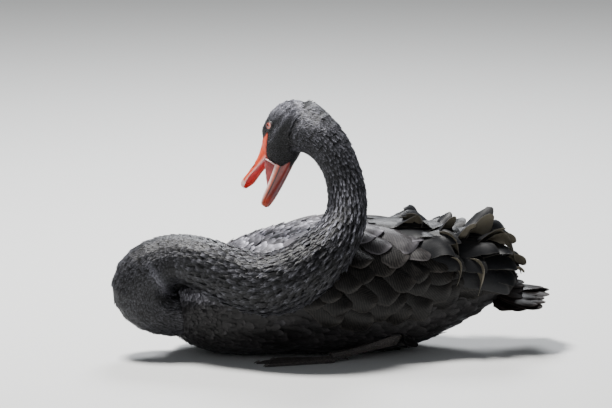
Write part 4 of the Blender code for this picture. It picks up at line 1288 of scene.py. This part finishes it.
def ruffles(table, side, seed):
    draw = np.random.default_rng(seed)
    table = np.array(table, float)
    x, band = table[:, 0] * MM, table[:, 1]
    tip = above_water(table[:, 2:5])
    count = len(x)
    if side < 0:
        tip = tip + draw.uniform((-8, -3, -9), (4, 3, 0), (count, 3)) * MM
    start, _, normal = hull_frame(x, wing_turn(x, band), wing_out(x, band) - 3 * MM)
    reach = np.linalg.norm(tip - start, axis=1)
    mid = x + reach * 0.5
    toward = hull_point(mid, wing_turn(mid, band), wing_out(mid, band) + 5 * MM)
    pitch = np.radians(table[:, 7])
    last = np.stack([np.cos(pitch), 0 * pitch, np.sin(pitch)], 1) * table[:, 8:9] * MM
    form = np.stack(
        [
            table[:, 5] * MM,
            draw.uniform(0.04, 0.10, count),
            draw.uniform(-0.35, 0.1, count),
            np.radians(table[:, 6]) * side * draw.uniform(0.9, 1.15, count),
            draw.uniform(0.03, 0.09, count),
            draw.uniform(1.0, 1.25, count),
            draw.uniform(0.5, 1.0, count) * side,
            *last.T,
        ],
        1,
    )
    shade = plume_shade(0.25 + 0.4 * draw.random(count), reach, 0 * x)
    unwrap = np.stack([band, share_of(WING_X, x)], 1) * 0.96 + 0.02
    return *on_side(side, start, toward, tip, normal), form, unwrap, shade


for label, side, seed in (("wing_left", 1, 41), ("wing_right", -1, 43)):
    coat = blade_coat(label + "_coverts", *wing_coverts(side, seed), WING_FINISH)
    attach(coat, "root")
    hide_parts(label)
    raised, back = ruffles(RUFFLES, side, seed + 1), ruffles(BACK_FEATHERS, side, seed + 3)
    parts = (np.concatenate(group) for group in zip(raised, flaps(side, seed + 2), back))
    coat = blade_coat(label + "_ruffles", *parts, RUFFLE_FINISH)
    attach(coat, "root")


# Tail: short, dark, pointed feathers in a low arch, with softer coverts over and under their roots.
TAIL_ROOT_X = 226 * MM
TAIL_END_X = 310.5 * MM
# in a tier: feathers, length, width, height of the middle one's tip and root, droop at the sides
TAIL_TIERS = (
    (11, 79 * MM, 28 * MM, 22 * MM, 27 * MM, 0.9),
    (9, 70 * MM, 28 * MM, 26 * MM, 32 * MM, 0.9),
    (9, 46 * MM, 24 * MM, 35 * MM, 41 * MM, 0.9),
    (9, 60 * MM, 25 * MM, 15 * MM, 16 * MM, 0.6),
    (9, 52 * MM, 25 * MM, 16 * MM, 11 * MM, 0.4),
    (7, 42 * MM, 25 * MM, 12 * MM, 6 * MM, 0.25),
)
TAIL_FINISH = plume_material(
    "tail feathers", (0.008, 0.0062, 0.0058, 1), (0.06, 0.045, 0.041, 1), (0.045, 0.036, 0.032, 1),
    rim=0.6, rim_from=0.75, side=1.0, barbs=0.6, sheen=0.02, gloss=0.18
)


def make_tail():
    draw = np.random.default_rng(53)
    feathers = []
    for tier, (count, length, width, tip_high, root_high, fall) in enumerate(TAIL_TIERS):
        for k in range(count):
            at = 2 * k / (count - 1) - 1
            angle = math.radians(27 * at + draw.normal(0, 1.5))
            droop = abs(at) ** 1.6 * fall
            high = WATER + root_high - 7 * MM * droop
            root = np.array((TAIL_ROOT_X + 4 * MM, 16 * MM * at, high))
            reach = length * (1 - 0.10 * droop) * draw.uniform(0.93, 1.04)
            end = root + np.array((math.cos(angle), math.sin(angle), 0)) * reach
            end[0] = min(end[0], TAIL_END_X)
            end[2] = WATER + tip_high - 17 * MM * droop + draw.uniform(-1.5, 1.5) * MM
            toward = (root + end) / 2 + np.array((0, 0, (3 if tier < 3 else -3) * MM))
            form = (width, 0.1, 0.0, math.radians(draw.normal(0, 6)), 0.06, 0.15, 0, 0, 0, 0)
            shade = (0.08 + 0.3 * draw.random(), reach / 0.1, 0, 0)
            unwrap = (0.05 + 0.9 * k / count, 0.1 + 0.15 * tier)
            feathers.append((root, toward, end, (0.1, 0.35 * at, 1.0), form, unwrap, shade))
    arrays = (np.array(column, float) for column in zip(*feathers))
    return blade_coat("tail_feathers", *arrays, TAIL_FINISH)


coat = make_tail()
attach(coat, "root")
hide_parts("tail")

# Eyes: a glossy ball with a red iris round a black pupil, set deep between an upper and a lower
# lid, whose bare rims are pale pink.
EYE_SIDES, EYE_RINGS = 48, 28
PUPIL, IRIS, PALE_RING = 0.33, 0.74, 0.80  # edges, as shares of a quarter turn from the gaze
LID_OPEN_LONG = 34  # half the opening between the lids, in degrees as seen from the eye's middle
LID_OPEN_UP = 27
LID_OPEN_DOWN = 29
LID_SKIN = (0.018, 0.017, 0.018, 1)
LID_RIM = (0.50, 0.16, 0.13, 1)
LID_SIDES = 64
# how far from the opening's edge in degrees, the radius there in mm, and the rim's share of colour
LID_PROFILE = (
    (1.5, 6.3, 1.0), (0.0, 6.75, 1.0), (0.6, 7.3, 0.9), (3.0, 7.6, 0.25), (6.0, 7.45, 0.0),
    (9.5, 7.05, 0.0), (13, 7.5, 0.0), (20, 7.7, 0.0), (30, 7.3, 0.0), (46, 6.6, 0.0),
    (60, 5.4, 0.0),
)
# the ball's colours, from the middle of the pupil outward
EYE_COLOURS = (
    (0.0, (0.003, 0.002, 0.002, 1)),
    (PUPIL, (0.004, 0.003, 0.003, 1)),
    (PUPIL + 0.03, (0.36, 0.05, 0.04, 1)),
    (0.56, (0.66, 0.15, 0.11, 1)),
    (IRIS, (0.78, 0.34, 0.28, 1)),
    (PALE_RING, (0.84, 0.62, 0.56, 1)),
    (PALE_RING + 0.06, (0.05, 0.02, 0.02, 1)),
)


def simple_mesh(name, points, faces, finish, tint=None, sharp=180):
    mesh = bpy.data.meshes.new(name)
    mesh.from_pydata([tuple(p) for p in points], [], [tuple(f) for f in faces])
    if tint is not None:
        layer = mesh.color_attributes.new("tint", "FLOAT_COLOR", "POINT")
        layer.data.foreach_set("color", np.asarray(tint, float).ravel())
    work = bmesh.new()
    work.from_mesh(mesh)
    bmesh.ops.recalc_face_normals(work, faces=work.faces)
    work.to_mesh(mesh)
    work.free()
    mesh.shade_smooth()
    mesh.set_sharp_from_angle(angle=math.radians(sharp))
    mesh.materials.append(finish)
    return put(name, mesh)


def ring_faces(rings, sides, closed=True):
    faces = []
    for i in range(rings - 1):
        for k in range(sides if closed else sides - 1):
            m = (k + 1) % sides
            faces.append((i * sides + k, i * sides + m, (i + 1) * sides + m, (i + 1) * sides + k))
    return faces


def shifted(faces, first):
    return [tuple(v + first for v in face) for face in faces]


def tube_faces(rings, sides, first=0):
    """Faces round a tube of rings and over its two ends."""
    ends = [tuple(range(sides - 1, -1, -1)), tuple(range((rings - 1) * sides, rings * sides))]
    return shifted(ring_faces(rings, sides) + ends, first)


def eye_frame(side):
    """Middle of the eye, its gaze, and the directions to its front corner and upwards."""
    gaze = unit(HEAD_AXES[2] * side * 0.97 - HEAD_AXES[1] * 0.12 + HEAD_AXES[0] * 0.08)
    front = unit(HEAD_AXES[0] - gaze * (HEAD_AXES[0] @ gaze))
    up = np.cross(front, gaze) * side
    return in_head((EYE_AT[0] - 2.5 * MM, EYE_AT[1], EYE_AT[2] * side)), gaze, front, unit(up)


def eye_material():
    finish, add, shader = new_finish("red eye")
    parts = add("SeparateColor", {"Color": add("Attribute", attribute_name="tint")["Color"]})
    place = add("CombineXYZ", {"X": parts["Green"], "Y": parts["Blue"]})["Vector"]
    ray = add("TexNoise", {"Vector": place, "Scale": 26}, noise_dimensions="2D")["Fac"]
    # the edges of the rings waver a little
    wander = add("Math", {0: ray, 1: 0.05, 2: parts["Red"]}, operation="MULTIPLY_ADD")[0]
    colour = add("ValToRGB", {"Fac": wander})["Color"]
    stops = colour.node.color_ramp.elements
    while len(stops) < len(EYE_COLOURS):
        stops.new(0.5)
    for stop, (at, tint) in zip(stops, EYE_COLOURS):
        stop.position, stop.color = at, tint
    feed(shader, {"Base Color": colour, "Roughness": 0.06})
    feed(shader, {"Coat Weight": 1.0, "Coat Roughness": 0.03})
    return finish


def skin_tint_material(name, rough, bump_size, bump_depth, coat=0.0):
    """Bare skin or horn coloured by its mesh's own tint, mottled and finely wrinkled."""
    finish, add, shader = new_finish(name)
    shades = {"From Min": 0.3, "From Max": 0.7, "To Min": 0.8, "To Max": 1.18}
    shade = add("MapRange", {"Value": speckle(add, 210, 4), **shades})["Result"]
    tint = add("Attribute", attribute_name="tint")["Color"]
    colour = add("HueSaturation", {"Color": tint, "Value": shade})["Color"]
    normal = bumped(add, speckle(add, bump_size, 5), 0.4, bump_depth)
    feed(shader, {"Base Color": colour, "Normal": normal, "Roughness": rough})
    feed(shader, {"Coat Weight": coat, "Coat Roughness": 0.18})
    return finish


EYE_FINISH = eye_material()
LID_FINISH = skin_tint_material("eyelid skin", 0.5, 1400, 0.0002)


def make_eye(side):
    centre, gaze, front, up = eye_frame(side)
    # the eye looks a little up and ahead of the opening between its lids
    gaze = unit(gaze + up * 0.20 + front * 0.12)
    front = unit(front - gaze * (front @ gaze))
    up = np.cross(front, gaze) * side
    points, tint = [centre + gaze * EYE_RADIUS * 1.04], [(0, 0, 0, 1)]
    for i in range(1, EYE_RINGS):
        off = math.radians(112) * i / (EYE_RINGS - 1)
        bulge = 1 + 0.04 * float(smooth(0.75, 0.2, off))
        for k in range(EYE_SIDES):
            turn = 2 * math.pi * k / EYE_SIDES
            ray = front * math.cos(turn) + up * math.sin(turn)
            out = gaze * math.cos(off) + ray * math.sin(off)
            points.append(centre + out * EYE_RADIUS * bulge)
            share = off / (math.pi / 2)
            tint.append((share * 1.8, 0.5 + 0.5 * math.cos(turn), 0.5 + 0.5 * math.sin(turn), 1))
    faces = [(0, 1 + k, 1 + (k + 1) % EYE_SIDES) for k in range(EYE_SIDES)]
    faces += shifted(ring_faces(EYE_RINGS - 1, EYE_SIDES), 1)
    back = 1 + (EYE_RINGS - 2) * EYE_SIDES
    faces.append(tuple(range(back, back + EYE_SIDES)))
    name = "eye_left_ball" if side > 0 else "eye_right_ball"
    return simple_mesh(name, points, faces, EYE_FINISH, tint)


def make_lids(side):
    """Both lids as one folded ring of skin: rim, crease and outer slope down into the feathers."""
    centre, gaze, front, up = eye_frame(side)
    points, tint = [], []
    for off, radius, rim in LID_PROFILE:
        for k in range(LID_SIDES):
            turn = 2 * math.pi * k / LID_SIDES
            c, s = math.cos(turn), math.sin(turn)
            tall = LID_OPEN_UP if s > 0 else LID_OPEN_DOWN
            # the corners of the eye are drawn out, the front one further
            point = abs(c) ** 2.2 * (0.16 if c > 0 else 0.08)
            reach = 1 / math.sqrt((c / LID_OPEN_LONG) ** 2 + (s / tall) ** 2) * (1 + point)
            angle = math.radians(reach + off)
            ray = front * c + up * s
            hood = 1 + 0.06 * max(s, 0) * (2 < off < 25)
            out = gaze * math.cos(angle) + ray * math.sin(angle)
            points.append(centre + out * radius * MM * hood)
            tint.append([a * (1 - rim) + b * rim for a, b in zip(LID_SKIN, LID_RIM)])
    name = "eyelids_left" if side > 0 else "eyelids_right"
    return simple_mesh(name, points, ring_faces(len(LID_PROFILE), LID_SIDES), LID_FINISH, tint)


for label, side in (("eye_left", 1), ("eye_right", -1)):
    eye = make_eye(side)
    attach(eye, "root")
    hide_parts(label)
    lids = make_lids(side)
    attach(lids, "root")


# Bill: a waxy coral upper bill with raised nostrils, a pale band and a nail at its tip, and a lower
# bill of two slim arms that meet at the tip, with dark skin in the groove between them.
BILL_LENGTH = 74 * MM
BILL_HALF = 14.5 * MM
CORAL = (0.72, 0.075, 0.026, 1)
CORAL_LIGHT = (0.80, 0.22, 0.115, 1)
BILL_BAND = (0.86, 0.60, 0.52, 1)
PALATE = (0.86, 0.016, 0.012, 1)
MAROON = (0.19, 0.020, 0.016, 1)
MAUVE = (0.26, 0.065, 0.065, 1)
CHIN_LIGHT = (0.36, 0.065, 0.05, 1)
PALE_EDGE = (0.90, 0.66, 0.64, 1)
GROOVE = (0.010, 0.009, 0.009, 1)
NOSTRIL_SHADE = (0.05, 0.008, 0.006, 1)
BILL_FINISH = skin_tint_material("waxy coral bill", 0.34, 520, 0.0003, 0.3)
MOUTH_FINISH = skin_tint_material("moist mouth lining", 0.3, 700, 0.0004, 0.3)


def laid(first, *steps):
    """A colour with (share, colour) steps laid over it, one after the other."""
    colour = np.array(first, float)
    for share, other in steps:
        colour = colour * (1 - share) + np.array(other) * share
    return colour


def make_upper_bill():
    rings, tint = [], []
    count, sides = 84, 33
    for i in range(count):
        t = i / (count - 1)
        t = 1 - (1 - t) ** 1.25
        along = -7 * MM + (BILL_LENGTH + 7 * MM) * t
        s = np.clip((along + 3 * MM) / (BILL_LENGTH + 3 * MM), 0, 1)
        sag = 6.2 * MM * math.sin(math.pi * min(s / 0.92, 1)) ** 1.1
        nail = smooth(0.85, 1.0, s)
        culmen = sag + 2.5 * MM * nail - 2 * MM * s * s - 1.0 * MM * smooth(3 * MM, -7 * MM, along)
        edge = 23 * MM + (10.5 - 23) * MM * smooth(0, 0.85, s) - 2.5 * MM * nail
        half = BILL_HALF * (1.02 - 0.02 * s) * (1 + 0.15 * smooth(7 * MM, -5 * MM, along))
        half = half * (1 - 0.05 * math.sin(math.pi * np.clip((s - 0.1) / 0.6, 0, 1)))
        if s > 0.7:
            half *= math.sqrt(max(1 - ((s - 0.7) / 0.3012) ** 2.4, 0.006))
        depth = max(edge - culmen, 2.5 * MM) * (1 if s < 0.985 else 0.8)
        palate = min(4.5 * MM, depth * 0.45)
        lip = min(2.0 * MM, half * 0.3)
        ring = []
        for k in range(sides):
            turn = math.pi * k / (sides - 1)
            c, up = math.cos(turn), math.sin(turn)
            down = edge - depth * up**0.85
            # a fine groove runs above the cutting edge, and the ridge flattens towards the forehead
            groove = 0.55 * MM * math.exp(-(((up - 0.30) / 0.09) ** 2))
            groove = groove * smooth(0.02, 0.2, s) * (s < 0.97)
            wide = half * np.sign(c) * abs(c) ** 0.92 - np.sign(c) * groove
            near = ((along - 36 * MM) / (9 * MM)) ** 2 + ((up - 0.72) / 0.2) ** 2
            swell = 0.9 * MM * math.exp(-near)
            ring.append((along, down - swell * 0.6, wide + np.sign(c) * swell * 0.6))
            # painted light: the top of the bill is painted lighter coral as a painted highlight,
            # and it also lightens towards the tip; the groove above the cutting edge is painted
            # maroon as painted shade
            band = smooth(0.80, 0.85, s) * smooth(0.95, 0.90, s)
            light = 0.55 * smooth(0.45, 0.95, up) * smooth(0.0, 0.3, s) + 0.25 * smooth(0.5, 0.8, s)
            rim = 0.55 * smooth(0.16, 0.02, up) * smooth(0.05, 0.25, s)
            dark = 0.35 * math.exp(-(((up - 0.30) / 0.08) ** 2)) * smooth(0.05, 0.2, s)
            marks = (light, CORAL_LIGHT), (dark, MAROON), (rim, PALE_EDGE), (0.8 * band, BILL_BAND)
            tint.append(laid(CORAL, *marks))
        roof = ((half - lip, 0.2), (half * 0.62, 0.75), (half * 0.3, 1.0))
        roof = [(-across, lift) for across, lift in roof] + [(0, 0.85), *roof[::-1]]
        for across, lift in roof:
            ring.append((along, edge - palate * (lift if lift > 0.3 else 0.05), across))
            tint.append(laid(PALATE, (0.5 * smooth(0.5, 0.05, lift), CORAL_LIGHT)))
        rings += ring
    points = in_head(np.array(rings))
    # the nostrils: slots with a raised rim, pressed into the sides, their pits painted near black
    # as painted shade
    local = to_head(points)
    for side in (-1, 1):
        middle = np.array((35 * MM, 8.4 * MM, 11.5 * MM * side))
        off = (local - middle) / np.array((6.2 * MM, 2.5 * MM, 9 * MM))
        far = np.sqrt((off[:, :2] ** 2).sum(1)) + 10 * (local[:, 2] * side < 4 * MM)
        pit = smooth(1.0, 0.35, far)
        rim = np.exp(-(((far - 1.25) / 0.28) ** 2))
        points = points + np.outer(rim * 0.5 * MM - pit * 2.6 * MM, HEAD_AXES[2] * side)
        for n in np.nonzero(pit > 0.05)[0]:
            tint[n] = laid(tint[n], (min(pit[n] * 1.3, 1), NOSTRIL_SHADE))
    faces = tube_faces(count, sides + 7)
    bill = simple_mesh("upper_bill", points, faces, BILL_FINISH, tint, 60)
    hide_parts("bill_upper")
    return bill


def make_lower_bill():
    base, tip = np.array((0.0, 46.0)) * MM, np.array((78.0, 48.5)) * MM
    line = (tip - base) / np.linalg.norm(tip - base)
    below = np.array((-line[1], line[0]))
    rings, tint, count = [], [], 64
    # across as a share of the half width, and up (-0.5) or down (0.5) as a share of the depth
    section = (
        (1.00, -0.50, "rim"), (1.06, -0.38, "rim"), (1.05, -0.22, "edge"), (1.01, -0.07, "side"),
        (0.95, 0.02, "groove"), (0.90, 0.05, "groove"), (0.88, 0.12, "chin"), (0.78, 0.30, "chin"),
        (0.60, 0.44, "light"), (0.40, 0.50, "light"), (0.20, 0.50, "chin"), (0.0, 0.47, "chin"),
    )
    inside = (
        (0.86, -0.46, "rim"), (0.72, -0.22, "lining"), (0.45, -0.06, "lining"),
        (0.0, -0.03, "lining"),
    )
    outline = list(section) + [(-u, v, k) for u, v, k in section[-2::-1]]
    outline += [(-u, v, k) for u, v, k in inside] + [(u, v, k) for u, v, k in inside[-2::-1]]
    for i in range(count):
        t = 1 - (1 - i / (count - 1)) ** 1.2
        bow = 1.6 * MM * math.sin(math.pi * t)
        centre = base + (tip - base) * t + below * bow
        half = (13.2 - 0.9 * t) * MM
        if t > 0.72:
            half *= math.sqrt(max(1 - ((t - 0.72) / 0.2806) ** 2.4, 0.008))
        deep = (19 - 11 * t**0.8) * MM
        if t > 0.97:
            deep *= 1 - 0.5 * (t - 0.97) / 0.03
        shut = smooth(0.66, 0.86, t)
        for u, v, kind in outline:
            if kind == "lining":
                v = v - (v + 0.35) * shut * 0.7
            spot = centre + below * deep * v
            rings.append((spot[0], spot[1], half * u))
            colour = {
                "rim": (PALE_EDGE,),
                "edge": (PALE_EDGE, (0.75, CORAL_LIGHT)),
                "side": (CORAL, (0.25, MAROON)),
                "groove": (GROOVE, (0.7 * shut, CORAL)),
                "lining": (MAUVE,),
                "light": (MAROON, (0.5, CHIN_LIGHT), (0.6 * shut, CORAL)),
                "chin": (MAROON, (0.12, CHIN_LIGHT), (0.6 * shut, CORAL)),
            }[kind]
            tint.append(laid(*colour, (0.5 * smooth(0.86, 0.97, t), CORAL_LIGHT)))
    faces = tube_faces(count, len(outline))
    bill = simple_mesh("lower_bill", in_head(np.array(rings)), faces, BILL_FINISH, tint, 60)
    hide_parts("bill_lower")
    return bill


def make_gape():
    """The stretched skin between the two bills at the mouth's corners, and the throat behind it."""
    columns, rows, thick = 33, 17, 0.45 * MM
    front, back, tint = [], [], []
    for i in range(rows):
        t = i / (rows - 1)
        reach = (15 + 32 * t**0.95) * MM
        for k in range(columns):
            u = 2 * k / (columns - 1) - 1
            side = abs(u) ** 0.8
            along = 3.5 * MM + (reach - 3.5 * MM) * smooth(0.55, 1.0, abs(u))
            # from the upper bill's cutting edge down to the rim of the lower bill's arm
            rim_down = 37.8 * MM + 0.125 * along
            down = 21.0 * MM + (rim_down - 21.0 * MM) * t
            left = np.sign(u) * (13.3 - 1.1 * t) * MM * min(side / 0.72, 1)
            fold = 0.35 * MM * math.sin(9 * math.pi * t) * smooth(0.6, 0.9, abs(u))
            front.append((along, down, left + np.sign(u) * fold))
            back.append((along - thick, down, left + np.sign(u) * (fold + thick)))
            edge = smooth(0.93, 1.0, abs(u))
            red = 0.12 * smooth(0.5, 0.8, abs(u))
            tint.append(laid(MAUVE, (red, PALATE), (0.7 * edge, PALE_EDGE)))
    cells = rows * columns
    faces = ring_faces(rows, columns, False)
    faces += [tuple(v + cells for v in reversed(face)) for face in faces]
    edge = grid_edge(rows, columns)
    faces += [(a, a + cells, b + cells, b) for a, b in zip(edge, edge[1:] + edge[:1])]
    points, tint = front + back, tint + tint
    # a pale cord of skin borders the cheek's feathers from the upper bill to the lower
    for side in (-1, 1):
        first, stations, turns = len(points), 13, 10
        for i in range(stations):
            t = i / (stations - 1)
            arch = math.sin(math.pi * t)
            along, down = 14.8 - 1.6 * t - 1.0 * arch, 22.5 + 18.0 * t
            left = (14.3 + 0.6 * arch) * side
            cord = 0.5 + 0.65 * arch**0.5
            for k in range(turns):
                turn = 2 * math.pi * k / turns
                spot = (along + cord * math.cos(turn), down, left + cord * math.sin(turn))
                points.append(tuple(MM * v for v in spot))
                tint.append(np.array(PALE_EDGE))
        faces += tube_faces(stations, turns, first)
    return simple_mesh("gape_skin", in_head(np.array(points)), faces, MOUTH_FINISH, tint, 60)


pieces = (make_upper_bill(), "bill"), (make_lower_bill(), "bill"), (make_gape(), "mouth")
for piece, slot in pieces:
    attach(piece, "root")


def plain_skin(name, first, second, scale, rough, coat):
    """Skin mottled between two colours."""
    finish, add, shader = new_finish(name)
    mottling = speckle(add, scale, 5)
    colour, normal = blended(add, mottling, first, second), bumped(add, mottling, 0.5, 0.0004)
    feed(shader, {"Base Color": colour, "Normal": normal, "Roughness": rough, "Coat Weight": coat})
    return finish


TONGUE_FINISH = plain_skin(
    "tongue flesh", (0.34, 0.09, 0.085, 1), (0.52, 0.17, 0.15, 1), 600, 0.32, 0.4
)
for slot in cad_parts["tongue"].material_slots:
    slot.material = TONGUE_FINISH


# Legs and feet: black-brown legs tucked flat under the belly, their skin a net of small scales,
# and a blunt horn claw on each toe.
TOE_ROOT = np.array((-5, 86, 8)) * MM
TOES = ((84, 13, 7.5), (104, 0, 8.5), (96, -13, 7.5))  # length, spread in degrees, claw's length


def scaled_skin():
    """Small raised scales parted by darker lines."""
    finish, add, shader = new_finish("scaled leg skin")
    place = {"Vector": add("TexCoord")["Object"], "Scale": (0.7, 1.5, 1.0)}
    place = add("Mapping", place)["Vector"]
    cells = {"Vector": place, "Scale": 420}
    cells = add("TexVoronoi", cells, feature="DISTANCE_TO_EDGE")["Distance"]
    edges = {"Value": cells, "From Max": 0.22}
    plate = add("MapRange", edges, interpolation_type="SMOOTHSTEP")["Result"]
    horn = blended(add, speckle(add, 60), (0.045, 0.038, 0.036, 1), (0.085, 0.072, 0.066, 1))
    colour = blended(add, plate, (0.010, 0.009, 0.009, 1), horn)
    normal = bumped(add, plate, 0.8, 0.0005)
    feed(shader, {"Base Color": colour, "Normal": normal, "Roughness": 0.48})
    return finish


CLAW_FINISH = plain_skin("claw horn", (0.03, 0.026, 0.024, 1), (0.09, 0.08, 0.07, 1), 300, 0.3, 0.3)
LEG_FINISH = scaled_skin()


def make_claws(side):
    """Curved horn claws, round on top and hollowed beneath, one piece for the foot's three toes."""
    points, faces, rings, turns = [], [], 11, 12
    root = TOE_ROOT * (1, side, 1)
    for length, spread, claw in TOES:
        angle = math.radians(spread)
        ahead = np.array((-math.cos(angle), -math.sin(angle) * side, 0))
        across = np.array((ahead[1], -ahead[0], 0))
        start = root + ahead * (length - 4.5) * MM
        first = len(points)
        for i in range(rings):
            t = i / (rings - 1)
            thick = 2.1 * MM * (1 - t) ** 0.7 + 0.12 * MM
            high = (2.7 - 2.3 * t**1.4) * MM + 0.9 * MM * math.sin(math.pi * t)
            middle = start + ahead * claw * t * MM
            middle[2] = max(high, thick * 0.75 + 0.1 * MM)
            for k in range(turns):
                turn = 2 * math.pi * k / turns
                lift = math.sin(turn) * (1.0 if math.sin(turn) > 0 else 0.6)
                wide = across * thick * 0.85 * math.cos(turn)
                points.append(middle + wide + np.array((0, 0, thick * lift)))
        faces += tube_faces(rings, turns, first)
    return simple_mesh("claws_left" if side < 0 else "claws_right", points, faces, CLAW_FINISH)


for label, side in (("leg_left", -1), ("leg_right", 1)):
    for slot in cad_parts[label].material_slots:
        slot.material = LEG_FINISH
    claws = make_claws(side)
    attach(claws, "root")
